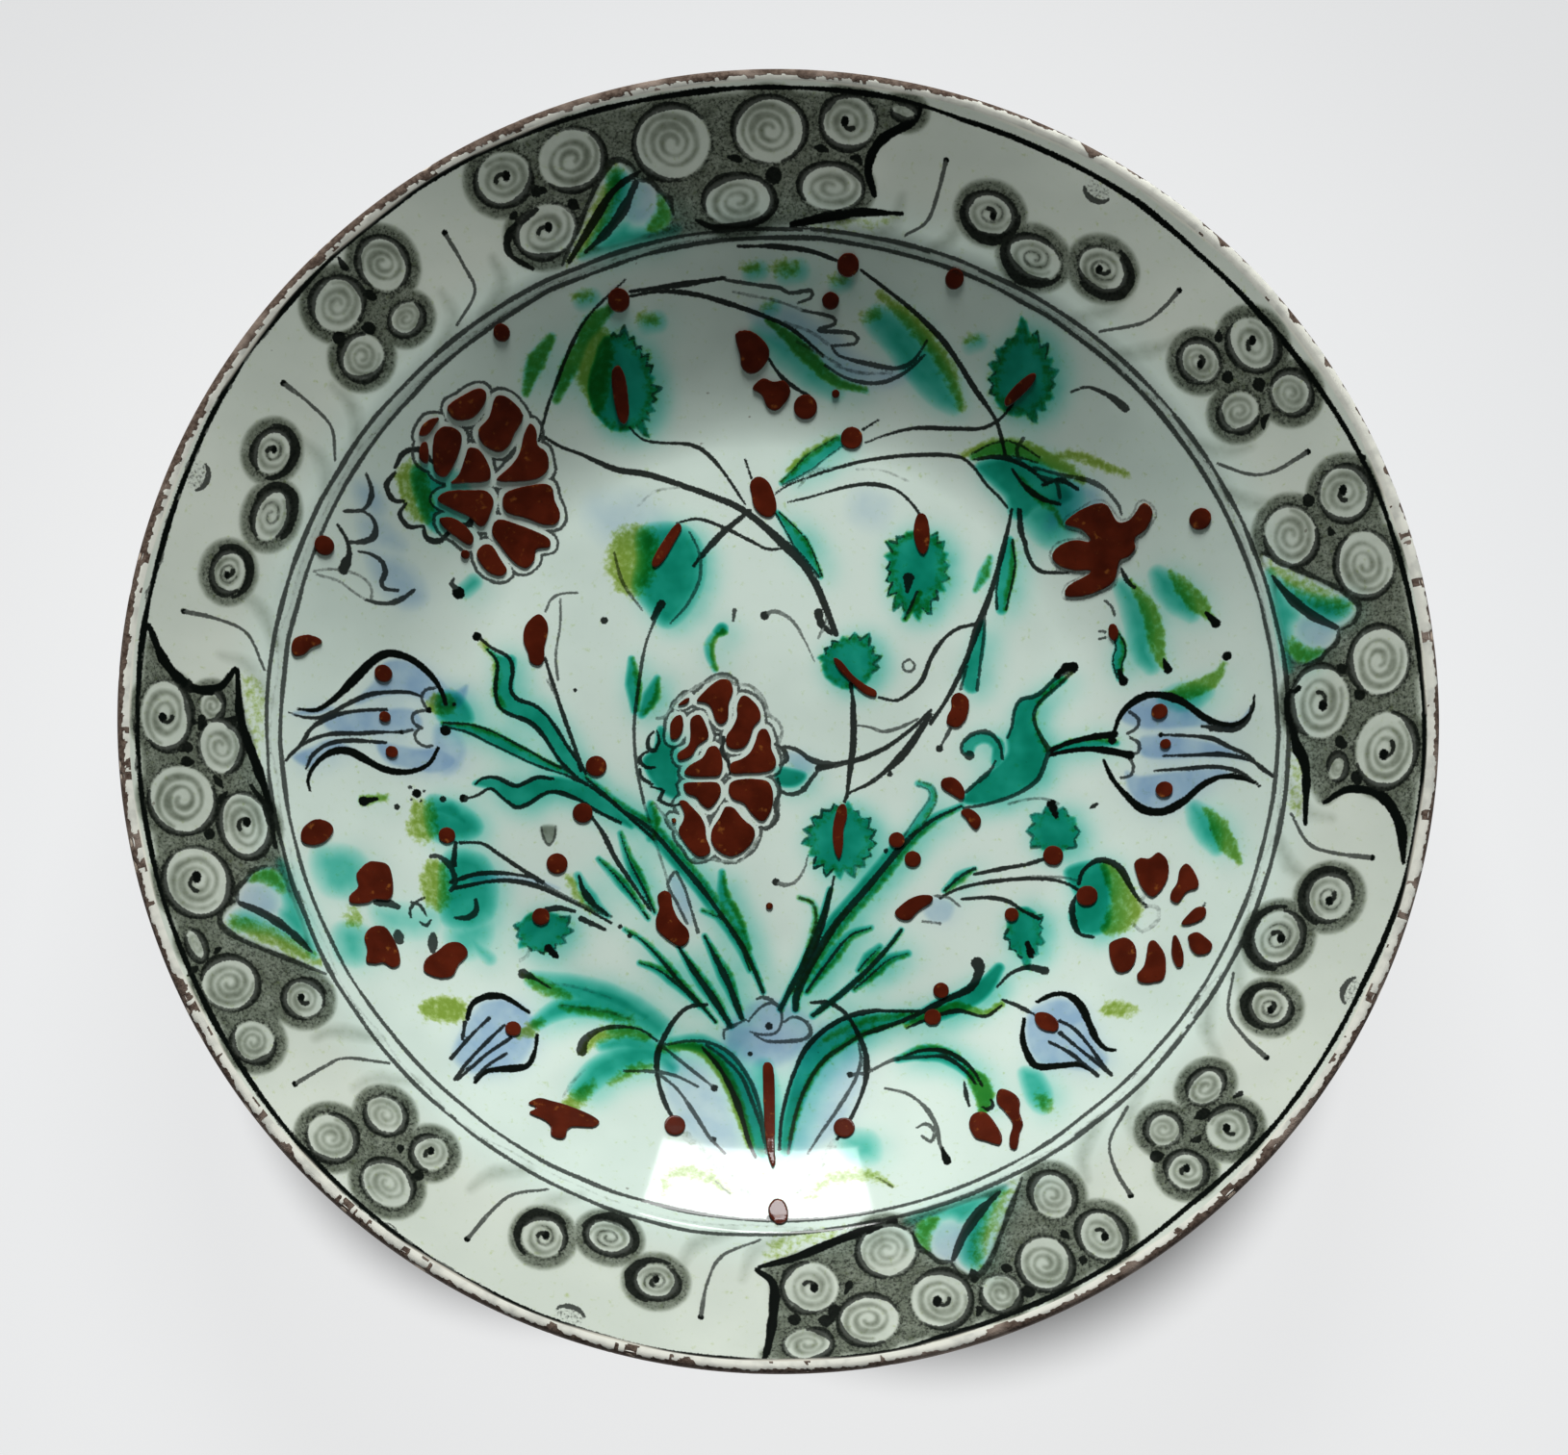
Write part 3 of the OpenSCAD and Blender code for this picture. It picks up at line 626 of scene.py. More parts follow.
# %% Curled leaves
patch("copper", "-67,22.2 -64,20.5 -60.5,20 -61,13.5 -60,10.5 -56,9 -53,6.5 -50.5,3 -48,-1 -44,-7 "
    "-41,-10.5 -46,-8 -50,-4.5 -52,-1 -54,2 -57,5 -62,7 -64.5,9 -65.3,13 -64.8,19", 0.85, 0.5)
lines((0.5, 0.9, 0.6), "-69,25 -66,22.5 -62,20.2 -61,17 -61.5,13 -60,10.5 -56,9 -53,6.5 -50.5,3 -48,-1 "
    "-45,-5 -44,-7", "-67,22 -64.6,19 -65,13 -64.3,9 -62,7 -57,5 -54,2 -52,-1 -50,-4 -46,-8 -42,-10.5")
stroke("olive", 1.6, "-68,23.5 -65,19 -65,13 -63.5,8.5", 0.6, 0.8)
patch("copper", "-70,-9.5 -67.5,-8.3 -64.5,-8.3 -61,-9.8 -58,-9.2 -55,-8 -50,-8 -44,-9.5 -38,-14 "
    "-33,-19.5 -36,-18.5 -41,-16 -46,-13 -51,-11.5 -54,-12.2 -57,-14 -60,-14.8 -63,-13 -66,-10.7", 0.9,
    0.5)
lines((0.5, 0.9, 0.6), "-69.5,-9.6 -68,-8.3 -65,-8 -62,-9.3 -60,-10 -58,-9.2 -55,-7.9 -51.5,-8.3",
    "-49,-7.2 -43,-10 -38,-13.5 -33,-18 -28,-22.5",
    "-72.3,-13.2 -69,-12.2 -66,-10.6 -63,-13 -60,-15 -57,-14 -54,-12 -51,-11.3 -46,-13 "
    "-41,-16 -36,-18.5")
leaf((0.8, 2.8, 2.4, 1.0), "-77,4.2 -71,3.4 -66,1.4 -60,-1.6 -54,-4.6 -48,-7", 0.9, 0.2, edge=0.5)
patch("copper", "53.8,2 54,-2 51.5,-5 48.5,-7.5 45.5,-10 43.6,-13.5 49,-13.8 54,-12.3 58,-10.3 61,-8 "
    "62.4,-4 63,-1.5 62,1 60.5,4 60,7 61.5,9.7 65,13 67.5,15 65.5,15.8 62,12.6 59.5,11.2 57,10.4 "
    "55.5,8 55,4", 0.95, 0.5)
patch("copper", "53,-1 52.3,1 49.5,2.6 46,2.4 43.6,0.5 43.4,-1.8 45.6,-2.6 46.3,-0.6 48.5,0.4 "
    "50.4,-0.8 50.2,-4.5 52,-5.5", 0.7, 0.4)
lines((0.5, 0.9, 0.5), "68,16.8 65,15.4 62,12.5 60,11.2 57,10.5 55.5,8 54.8,4 53.8,1.5",
    "69,17 66,14 61.5,10 60,7 60.5,4 62,1 63.3,-1.5 62.6,-4 61,-8 58,-10.5 54,-12.5 49,-14 43.5,-15",
    "45,-3.2 43.3,-2 43.3,0.2 46,2.5 49.5,2.7 52,0 52.6,-3.4", "51,-4 49.5,-6.5 46,-9.5 43.8,-11.5",
    tone=0.85)
stroke("olive", 1.2, "69,17 65,14 61,9.5 60.3,5 62.6,-1", 0.55, 0.6)
lines((1.2, 2.0), "65.5,16 67.5,18 69,18", tone=1.0)
dot(45, -2.6, 1.2, 0.9)
leaf((0.8, 2.4, 2.4, 0.8), "62.6,-2 68,-0.5 73,0.3 79,-0.2", 0.85, 0.3)
lines((0.8, 1.3), "63.5,-1.6 68,0.3 73,1.5 78.6,2", "63.5,-2.6 68,-1.6 73,-1.2 78,-2 82,-3.2", tone=1.0)
patch("copper", "44,13 43.6,17 45.5,22 47,27 48.3,29 48.6,24 47.3,17 46.6,12.5", 0.75, 0.5)
lines(0.6, "48.6,31 48.5,26 47.6,19 46.8,12.6", "43,13 44.5,18.5", tone=0.8)
leaf((1.4, 3.6, 3.4, 2.2), "54.5,48 54,42 53,36 52.6,31.8", 0.7, 0.3, edge=0.5)
leaf((1.0, 2.6, 0.8), "50,44 48.5,40 46.5,36.2", 0.4, 0.5)
leaf((0.8, 3.4, 0.8), "0.5,54.5 4,50 7.5,45 10.5,39.5", 0.85, 0.2, edge=0.4)
leaf((0.8, 3.4, 2.4), "1.5,61.5 5,64 10,68 15,71.3", 0.7, 0.3, edge=0.4, tone=0.7)
stroke("olive", 1.2, "3,64.5 8,69 14,72.3", 0.8, 0.5)
leaf((1.6, 3.0, 1.0), "-45.8,-31 -44,-34.5 -41.5,-38 -38.8,-40.3", 0.5, 0.0)
stroke("olive", (2.2, 1.6), "-47.5,-31.5 -45.5,-36 -42.5,-39", 0.6, 0.9)
line((0.5, 1.4, 0.6), "-45.5,-31 -44.5,-34.3 -42,-37.7 -38.8,-40.2")
leaf((0.7, 2.2, 0.8), "46,-29.2 43,-30.8 39,-34.3", 0.7, 0.3, rib=0.6)
print("leaves drawn")

# %% [markdown]
# The cobalt flowers come next: a big tulip lying on each side, small ones below, and a heart at
# the root of the bouquet. Blue is laid in long patches with bare slits left for the white stripes.

# %% Cobalt tulips at the sides
for shape in ("-97,7 -93,12.5 -90,17.5 -84,18 -78,14.5 -74.5,12 -71.5,13.5 -73,9 -78,8 -83,10.5 -90,10",
        "-104,3 -98,5 -90,6.5 -84,7 -82,3.5 -86,1.6 -94,0.8 -102,0",
        "-92,-1.4 -90,-5.5 -84,-6.8 -77,-7 -74,-4 -78,-1.5 -82,-2 -87,-1.7",
        "-111,3 -106,3.6 -102,5.5 -105,5 -109,4",
        "-111,-7 -107,-9 -105,-7 -101,-4.6 -97,-4.4 -102,-2 -107,-4.5",
        "80,5.5 83,9 88,9.8 93,7.5 98,4 100,2.2 92,2.4 85,3",
        "84.5,0.8 90,0.6 98,-1.3 104,-4 108,-7 103,-5.6 96,-4.9 88,-4.4 84.5,-3",
        "81,-7 84,-8.4 92,-8 100,-8 104,-9.7 99,-10.8 94,-14.5 90,-16.5 86,-16.2 82,-12",
        "101,2.4 106,2.2 108.6,5 108,3 104,0.6"):
    patch("cobalt", shape, 0.8 + 0.15 * rng.random(), 0.5)
patch("olive", "-80.5,7.5 -77,6.3 -74,8 -75,11 -78,11.4 -80.5,10", 0.7, 0.6)
patch("copper", "-78,11 -74,11.5 -71,8 -70.5,5 -74,4.5 -78,5.6", 0.7, 0.8)
patch("cobalt", "-79,3 -75,3.4 -72,-1 -74,-6.5 -78,-7", 0.55, 0.8)
lines((0.5, 1.4, 1.3, 0.7), "-110,4.3 -106,4.5 -103,6.5 -100,9.5 -97,13 -94,16.5 -91,19 -88,19.6 "
    "-84,18.5 -80,15.5 -77.5,12 -76.5,9", "-107,-14.5 -107.5,-12 -106.5,-9 -104,-6 -101,-4.3 -98,-4.2 "
    "-95,-5.5 -91,-7.3 -87,-7.8 -83,-7 -80,-5 -78.2,-1.5",
    "109.5,8 109.3,5 107.5,2.5 104.5,1.5 101,2.5 98,4.5 94,8 90,10 86,10.5 82.5,9 80,6.5 78.8,3.5 78,1",
    "76,-4 78,-8.5 81,-12.5 84,-15.7 87,-17 90,-17 94,-15 98,-11.8 102,-10.3 106,-10.8 109.5,-12.5",
    tone=1.0)
lines((0.5, 0.9, 0.6), "-112,3.3 -109,2.6 -105,2.9 -102,4.6 -98,7.3 -94,9.5 -90,10.5 -85,11 -82,10.3",
    "-112.5,-8 -109,-3.5 -107,0 -104,2.5 -100,4.5 -95,5.8 -90,6.5",
    "-112,-7 -109,-4 -106,-2 -102,-0.5 -96,0.3 -92,1 -87,1.6",
    "-108,-9.5 -106.5,-6 -103,-3 -98,-1.6 -90,-1.2", "109,5.5 108,2 105,0.3 100,1", "98,2 106,0.3",
    "88.5,1 94,0.3 100,-1 104,-3.5 108,-6 111,-9.5 113.5,-11.5",
    "89.5,-4 96,-4.5 102,-5 107,-6.5 110.5,-8.5 113.5,-11.5",
    "87.5,-7.3 95,-7.5 101,-7.8 106,-9.5 109,-12 110.5,-13.5")
lines(0.6, "-79,12.5 -81,12 -82,10 -80.8,7.5", "-80.5,7.2 -82,7 -84,6 -83.8,4 -82,3",
    "-82.5,2.8 -83.5,1.5 -83,-0.3 -81,-1.3 -79.5,-1", "-86.5,1.6 -84,2.4", "82,7 84,5 83.5,3 81.5,2",
    "82,1 84,-0.5 83.8,-2.7 81,-3", "82,-4 82.8,-6 82,-8 80,-8.3", tone=0.85)
dots("-76.5,2.8,1.3 -80.4,7.3,0.8 78,0.6,1.0 -95,-15.5,1.2 -86.5,1.6,0.6 89,1,0.6 -74.5,9,0.5", 1.0)
leaf((2.4, 1.0), "-95,-15.4 -92.5,-14.6 -90,-14", 0.1, 0.9)
line((1.4, 0.7), "-95,-15.5 -92,-14.6", 1.0)

# %% [markdown]
# The two small tulips below and the heart with its bud are the same brush at half the size.

# %% Small tulips and the heart
patch("cobalt", "-71,-67 -67,-61.5 -61,-61 -57,-64 -56,-70 -60,-77 -69,-79 -73,-77 -74,-74", 0.75, 0.8)
patch("cobalt", "57.5,-66 60,-62 66,-60.5 70,-64 72,-70 75,-76 72,-78.5 65,-77 60,-76 57.5,-71", 0.75,
    0.8)
lines((0.7, 1.4, 0.7), "-71,-66 -70,-62.5 -67,-60.3 -63,-60 -60,-61.5 -57,-63.5",
    "-55,-69 -55.5,-73 -57,-76.5 -60,-77.5 -64,-78 -67,-79 -69,-81.5",
    "57,-65 56.5,-70 58,-75 60,-77 65,-77 69,-77 71.5,-78.5 73,-80",
    "60,-61 64,-59.3 67.5,-60 70,-63 71.5,-67 73,-71 75,-73.5 77,-74", tone=1.0)
lines(0.7, "-72,-71 -71.5,-67", "-66,-65.5 -70,-70 -74.5,-76", "-62.5,-67 -67,-72 -71,-77 -73.5,-81",
    "-61,-70 -66,-74 -70,-78 -73,-81", "-62,-74 -66,-77 -69,-80.5",
    "65,-66 68,-68 71,-72 74,-77 76,-80", "65,-69 70,-74 75.5,-79.5", "62.5,-71 67,-74 71,-78 73,-80")
patch("olive", "-82,-64 -79,-61.5 -74,-61 -71,-63 -72,-66.5 -77,-67 -81,-66", 0.75, 1.0)
patch("olive", "74,-64.5 76,-62 80,-62.4 82,-64.5 80,-66 76,-65.8", 0.65, 0.9)
patch("copper", "56,-78 60,-79 62,-84 61,-88 58,-86", 0.45, 1.2)
patch("olive", "59,-84 62,-84 63,-88 60,-88", 0.5, 0.9)
for shape, strength in (("-12,-69 -11,-66 -7,-62.5 -3,-60 1,-61 7,-64 8,-67.5 6,-71 0,-75 "
        "-6,-74.5 -11,-72", 0.7), ("-26,-75 -21,-74 -16,-77 -12,-84 -9,-92 -10,-97 -15,-96 "
        "-21,-91 -25,-84", 0.32), ("6,-76 11,-71 17,-69 20,-73 19.5,-80 15,-90 10,-95 4,-97 3,-88",
        0.32), ("-17,-70 -11,-71 -6,-78 -4,-86 -6,-92 -10,-84 -14,-76", 0.35),
        ("10,-66 18,-66 23,-64 18,-69 9,-74 5,-82 3,-86 5,-76", 0.35)):
    patch("cobalt", shape, strength, 1.2)
patch("copper", "-26,-70.6 -20,-69.6 -15,-70 -10,-73 -6,-79 -4,-85 -3,-91 -2.5,-97 -4.5,-97 -6,-94 "
    "-7.5,-89 -9.5,-83 -12.5,-77 -17,-72", 0.8, 0.7)
patch("copper", "34,-62.8 25,-62.8 16,-64.2 10,-67.6 6.4,-72 4,-78 2,-86 0.8,-95 2.4,-97 4,-91 6,-84.5 "
    "9,-78 13,-73 19,-69 26,-66", 0.85, 0.7)
stroke("olive", (1.4, 2.8, 2.6, 1.6), "-24,-70.6 -18,-71.5 -13.5,-75.5 -10,-82 -8,-88.5 -6,-95", 1.0,
    0.6)
stroke("olive", (0.8, 1.6, 1.4, 1.2), "30,-65 22,-67 14,-71.5 8.5,-77.5 5.5,-84 3,-93", 0.7, 0.5)
stroke("copper", (3, 3, 2), "-3,-76 -1.5,-83 -1,-92", 0.35, 1.6)
lines((0.4, 0.8, 0.4), "-6.5,-65 -4,-62 -1,-60.5 1,-62 1.3,-65 0,-67.5 -3,-68 -6,-67.3",
    "2,-65 4,-63.8 7,-65 8,-67.5 6.5,-69 3,-69.5 -2,-69.5 -5,-68", "-12,-69 -12,-67 -10,-66 -7,-64.5",
    "-4.5,-59.7 -3,-59.2 -1,-60 0,-61", tone=0.8)
lines((0.6, 1.1, 0.6), "-16,-61 -20,-61.5 -23,-64 -26,-69 -27.5,-74 -27,-80 -25.5,-85 "
    "-23.5,-89 -21,-92.5", "8,-60.5 12,-60.5 16,-63 19,-68 20.7,-73 20.5,-79 18.5,-85 16,-90 13,-94.5",
    "-17,-71 -13,-76 -10,-82 -8,-88 -6.5,-94 -5,-98",
    "35,-62.5 28,-62.5 22,-62.5 16,-64 11,-67 7,-71 4.5,-76 2.5,-82 1,-89 0.5,-96")
lines((0.5, 0.8, 0.5), "-16,-70.5 -12,-73.5 -8,-78 -6,-83 -4,-89 -3,-94",
    "-26,-70.5 -20,-69.5 -15,-70 -10,-73 -6,-79 -4,-85 -3,-91 -2.5,-97",
    "32,-64 25,-66 20,-68 15,-71 11,-74 7.5,-79 5,-85 3.5,-91 2.5,-97",
    "-28,-77 -23,-81 -19,-87 -15.5,-93 -12,-97", "19,-70 19.5,-74 18,-79 14,-86 10,-92 7,-97",
    "-26,-71 -20,-76 -14.5,-80.5", "-35,-77 -28,-77 -23,-78 -18,-80.5",
    "40,-73 33,-73.5 27,-74 21,-77 17,-77.5", "25,-81 30,-82.5 34,-86 36.5,-91 37,-95 38.5,-99.5",
    "32,-91 34,-90 36,-92 35,-94.5 33,-93", tone=0.8)
lines((1.6, 1.0), "-21,-92.5 -17,-96.5 -12,-101.5 -6,-108", "13,-94.5 10,-99.5 8,-102.5 4,-108",
    tone=0.3)
lines((0.5, 1.5), "37,-95 38.6,-99.5", tone=1.0)
stroke("olive", (1.6, 2.4, 1.6), "-27,-71.5 -20,-70.8 -14,-74 -10,-81 -7.5,-89", 0.7, 0.6)
stroke("olive", (1.2, 1.8, 1.2), "33,-63 25,-64 17,-66 10,-70", 0.55, 0.6)
stroke("copper", (1.2, 2.6, 1.2), "-25,-69.6 -17,-69.5 -10,-73", 0.5, 0.7)
stroke("copper", (1.2, 2.6, 1.2), "34,-62.8 24,-64.2 15,-67.6", 0.55, 0.7)
patch("copper", "15,-93 21,-93 22,-98 17,-98", 0.3, 2.2)
for shape in ("-26,-107 -24.6,-102.8 -20,-101.8 -15,-103.4 -11,-107",
        "7,-108 11.5,-103.8 18,-102.4 22.5,-103.2 26,-105.5"):
    stroke("olive", (1.0, 3.0, 3.2, 1.0), shape, 0.5, 1.0)
    line((0.3, 0.5), as_path(shape)[-6:], 0.6)
dots("-1.6,-66,0.9 -6,-72.5,0.6 -14.5,-93.5,0.7 -14.3,-80.8,0.9 -33.8,-45,0.6 -36,-42.8,0.6 "
    "-2,-113,0.7 -0.5,-111.3,0.5 17,-77.5,0.8", 0.95)
print("tulips and heart drawn")

# %% [markdown]
# The cup of the centre carnation, its scalloped petal tips, and the little buds beside the stems.

# %% Centre carnation
patch("copper", "-27,4 -24.5,2 -22.5,-2 -22.8,-8 -22.6,-12.5 -26,-11.5 -28,-9.5 -30,-6 "
    "-30.5,-3.5 -28,-1", 0.95, 0.5)
lines((0.5, 0.9, 0.5), "-27.5,3 -27,1 -28,-1.5 -29.5,-1 -29.5,1.5 -28.3,2.8",
    "-29,-1.5 -31,-2.5 -31.5,-4 -30,-5.5 -28,-5.5", "-31.5,-6 -31,-8 -28.5,-9.5",
    "-29,-10 -26,-11 -27,-13 -24,-14.5 -22,-14", "-14,2.5 -12,1.5 -12.5,-1.5 -11,-4 -10.5,-7")
lines(0.6, "-27.5,6 -25.5,6.5 -23.5,9.5 -20,12.5 -16.5,14.5 -12,16 -9.5,14 -6,13.8 -3,11 -1.5,7 "
    "0.5,5.5 1.5,3 0.8,0.5", "-4,-22 -6,-25 -8.5,-27.5 -12,-27.5 -15,-27 -19,-27",
    "-22,-22 -25,-18 -28,-14", tone=0.55)
lines((0.6, 1.1, 0.6), "0,0 2,-1.5 2.5,-3.5 1,-5", "0.5,-8 1,-11 0,-14 0.3,-17.5 -2,-19.8 -3.5,-19.5",
    "10,-5.5 17,-4.3", "2,-0.5 5,-1.3 8,-3.5 12,-4.5 16,-4.5", "10,-6 8,-8.5 6,-11 3,-11.8 1.5,-11",
    tone=0.9)
patch("cobalt", "3,-2 7,-2.5 9,-4.5 8,-6.5 4,-5.5", 0.4, 0.6)
patch("copper", "0,-5.6 4,-6 7,-7.2 5,-9.6 1,-9.4", 0.9, 0.5)
patch("cobalt", "-24.5,-31 -21.5,-33 -19,-41 -20.5,-42 -23.5,-37", 0.4, 0.6)
lines(0.6, "-23.5,-30 -25,-33 -23,-37 -20.5,-42", "-23,-30 -21,-34 -19.5,-39 -18,-44", tone=0.8)
patch("cobalt", "34,-38 37,-36 41,-37.5 40,-41 36,-41.5", 0.4, 0.6)
lines(0.5, "36.5,-35.5 40,-36 42.5,-38", "34,-41.5 38,-42", tone=0.7)
print("centre carnation drawn")

# %% [markdown]
# At the left, the big carnation has a green cup with a scalloped edge. The small one below it
# stands in pale green pools, among stray dots and hooks left by a hurried hand.

# %% Cups at the left
patch("copper", "-84,61 -78,63 -72,60 -70,54 -72,50 -78,48 -82,52", 0.8, 0.8)
patch("olive", "-88,60 -84,63 -80,58 -80,50 -84,50 -87,55", 0.6, 0.9)
lines((0.6, 1.1, 0.6), "-88,61 -86,64.5 -82,65.5 -79.5,63", "-88,60 -90,57 -88.5,54 -86,54",
    "-85.5,53.5 -87,51 -85,48.5 -82,49", "-81.5,49 -81,46.5 -78,46 -75.5,48.5",
    "-75,50 -71,50.5 -70.5,54")
patch("copper", "-75.5,-27 -69,-27 -66,-31 -65.5,-36 -67,-41 -71,-43.5 -76,-42 -76.5,-34", 0.72, 1.8)
patch("olive", "-81.5,-30 -79,-28 -76.5,-29 -75.5,-33 -75.5,-38 -78,-40.5 -81.5,-37", 0.68, 1.0)
for wash, strength in (("-105,-29 -97,-28.5 -95,-33 -97,-37 -103,-37", 0.3),
        ("-100,-47 -95,-47 -95,-53 -99,-53", 0.36), ("-92,-41 -84,-40.5 -79,-41 -80,-45 -88,-46", 0.2),
        ("-72,-43 -67,-43 -68,-48 -72,-50 -75,-46", 0.3)):
    patch("copper", wash, strength, 2.3)
dot(-83, -12.5, 1.1)
dots("-84.5,-11.2,0.5 -81.3,-11.8,0.4 -84.2,-14,0.35 -82,-14.2,0.4", 0.9)
patch("smoke", "-54.3,-19.6 -51,-19.4 -51.2,-22 -52.4,-23.6 -53.6,-22.4", 0.9, 0.4)
lines(0.5, "-54.3,-19.6 -53.6,-22.4 -52.4,-23.8 -51.2,-22 -51,-19.4", tone=0.7)
stroke("olive", (1.5, 3.0, 2.0), "-45,-73 -41,-69 -36,-67.5 -30,-68.5", 0.75, 0.8)
stroke("copper", (2.0, 4.0, 2.0), "-40,-71 -34,-70 -28,-72 -24,-76", 0.55, 1.0)
patch("cobalt", "-70,-31 -62,-31 -55,-32 -50,-34 -55,-33 -62,-32 -70,-32.6", 0.6, 0.5)
patch("olive", "-99,-42 -96,-41 -95,-45 -98,-46", 0.5, 1.0)
lines((0.8, 1.2, 0.7), "-79.6,-27.2 -78,-27 -76,-28.3 -74.6,-30.5 -74,-33 -75,-35",
    "-69.3,-37 -69.2,-39.5 -71,-41.3 -74,-41.6", tone=0.9)
lines((0.4, 0.7, 0.4), "-81,-37.2 -83,-38.5 -84.3,-40.5 -84,-42.3", "-84,-38.6 -82,-39.2 -80.5,-41.5",
    "-82,-43.2 -80.5,-44 -79.5,-42.5", tone=0.9)
lines((1.0, 1.8, 1.0), "-92,-39.5 -89.5,-39.2 -87,-40", "-79,-46 -79,-50", "-87,-46 -86.5,-48.5",
    tone=0.9)
stroke("copper", 1.5, "-72,-44 -69,-48 -66,-51", 0.4, 1.2)
print("left cups drawn")

# %% [markdown]
# At the right, a second small cup. The washed-out blue flower at the upper left and the blue
# behind the iris are laid with the same wet brush, so they come here as well.

# %% Cup at the right and blue flower
patch("copper", "67,-30 72,-28 76,-29 77,-37 76,-44 71,-45 68,-41 69.5,-36", 0.9, 0.7)
patch("olive", "75,-28.5 79.5,-30 83,-37 84,-41 80,-45 75,-45 77,-37", 0.75, 0.8)
lines((0.7, 1.2, 0.7), "70,-35 68.5,-38 68.7,-42 70,-45 73,-46",
    "70,-33 71,-30 74,-27.7 77,-28 79.5,-30 81,-33 83,-37 85,-39.5")
lines(0.7, "85,-36 84,-39 87.5,-40 87.5,-43 86,-44.5 84,-45.5 82,-43.5", tone=0.45)
for wash in ("-97,56 -94,57 -91,54 -91.5,51 -95,51", "-96,49 -93,49.5 -89,47 -86,44 -90,43.5 -95,45",
        "-94,41 -90,41.5 -84,39 -81.5,33 -86,31 -91,34"):
    patch("cobalt", wash, 0.42, 1.8)
patch("cobalt", "68,60 74,58 75,54 69,52 63,50 64,54", 0.5, 1.2)
lines((0.5, 1.0, 0.6), "-94.6,59 -93.3,55.5 -94,52.5 -95.5,50.8",
    "-96.3,41.7 -93.5,41.4 -91,40 -90.3,37.5 -91.2,35.6 -90.4,34.1 -87.5,34",
    "-94.8,31.1 -92,30.7 -89,31 -86,32.6 -83.8,34.5", tone=0.9)
lines((0.4, 1.2, 0.6), "-95.6,50.8 -93.5,49.8 -92.4,47.5 -93.2,45 -96,43.8 -98.6,43.6", tone=0.9)
line(0.7, "-99.5,50.2 -95.6,50.8", 0.9)
line((0.5, 0.8, 1.8), "-101,47 -99,44 -98.4,41 -99.2,38.7 -99.8,37.2", 0.95)
lines(0.45, "-106.5,36 -103,37 -99,37 -95.5,36 -93.5,34 -93.4,31.5",
    "-105.8,35.4 -101,34.6 -98,32.8 -95,31.2", tone=0.6)
dot(-73.6, 34.8, 1.5)
line((1.2, 0.5), "-73.6,35.4 -75.2,36.6 -74.6,38", 0.9)
stroke("copper", 2.2, "-72,35.5 -70,37.5", 0.5, 1.2)
patch("cobalt", "-42,58 -30,57.5 -26,50 -36,47 -43,52", 0.22, 3.0)
patch("cobalt", "20,60 26,57 24,51 18,54", 0.2, 2.5)
print("right cup and blue flower drawn")

# %% [markdown]
# The leaves beside the iris overlap, so all their washes are laid first and outlined after.

# %% Leaves beside the iris
patch("copper", "47,65 53,66.5 60,65.5 66,61 69,57 66,55 61,55.5 58,53 55,54 54,58 51,61", 0.9, 0.9)
patch("copper", "57,55 62,56 66,60 70,57 69,50 64,47 60,50", 0.4, 2.0)
stroke("olive", (1.2, 3.4, 3.0, 1.4), "44,67.6 51,69.4 59,67.6 66,64 71,60.5", 0.9, 0.7)
stroke("olive", (1.0, 2.4, 1.2), "62,65.5 69,66 76,63 81,60.5", 0.7, 0.7)
stroke("olive", (1.2, 2.0, 1.0), "57,62 60,58 64,55 67,50", 0.6, 0.6)
lines((0.5, 1.0, 0.6), "47,66.5 52,66.8 58,64.5 63,60.5", "55,64 58,60 62,57 66,55.5",
    "56.5,55 57,50 58.5,47", "62,60 66,60.8 70,58.5")
leaf((1.4, 3.4, 1.2), "46,67.2 51,68.6 56,68 61,65.5", 0.3, 0.85, edge=0.4)
line((0.5, 0.9, 0.5), "60,64 66,62 72,60.3 76,58 79,54.5 80,52", 0.8)
lines(0.7, "57,65 56,68 57.5,70.5", "61,62 65,60.5 66,57", tone=0.8)
print("iris leaves drawn")

# %% [markdown]
# Two sprays of broad leaves reach down beside the small tulips: wide copper strokes with olive
# tips, each with one dark line where the painter felt for the edge.

# %% Lower leaves
stroke("copper", (1.5, 4.5, 6.0, 5.5, 3.5), "-56,-55.5 -50,-57 -44,-58.6 -38,-60.8 -32,-63.6 -27,-66.5",
    0.66, 1.8)
stroke("copper", (1.0, 2.6, 2.8, 2.0), "-47,-57 -42,-58.4 -36,-60.6 -30,-64", 0.9, 1.0)
stroke("olive", (1.5, 3.6, 3.0, 1.5), "-58,-54.8 -55,-56.2 -51.5,-58 -48,-59", 0.7, 0.9)
stroke("copper", (2.0, 3.8, 4.2, 3.5), "-55,-66 -52,-63.6 -48,-61.8 -43,-61.5 -37,-63", 0.66, 1.1)
stroke("olive", (1.5, 3.2, 1.5), "-59,-69.5 -56.5,-67.5 -54,-65.5", 0.7, 0.9)
stroke("olive", (1.0, 2.2, 2.0, 1.0), "-50,-62 -45,-62.5 -39,-63.2 -33,-64.6", 0.75, 0.7)
stroke("olive", (1.0, 2.6, 2.4, 1.0), "-43,-69 -39,-67.4 -34,-67 -29,-68.5", 0.65, 0.8)
stroke("copper", (1.0, 2.4, 2.0), "-38,-67.4 -33,-66.8 -28,-68.5", 0.4, 1.2)
stroke("copper", (3.0, 5.0, 5.2, 4.6, 3.4), "-25,-72.5 -31,-73 -36,-74.5 -41,-77.5 -45,-82", 0.7, 1.6)
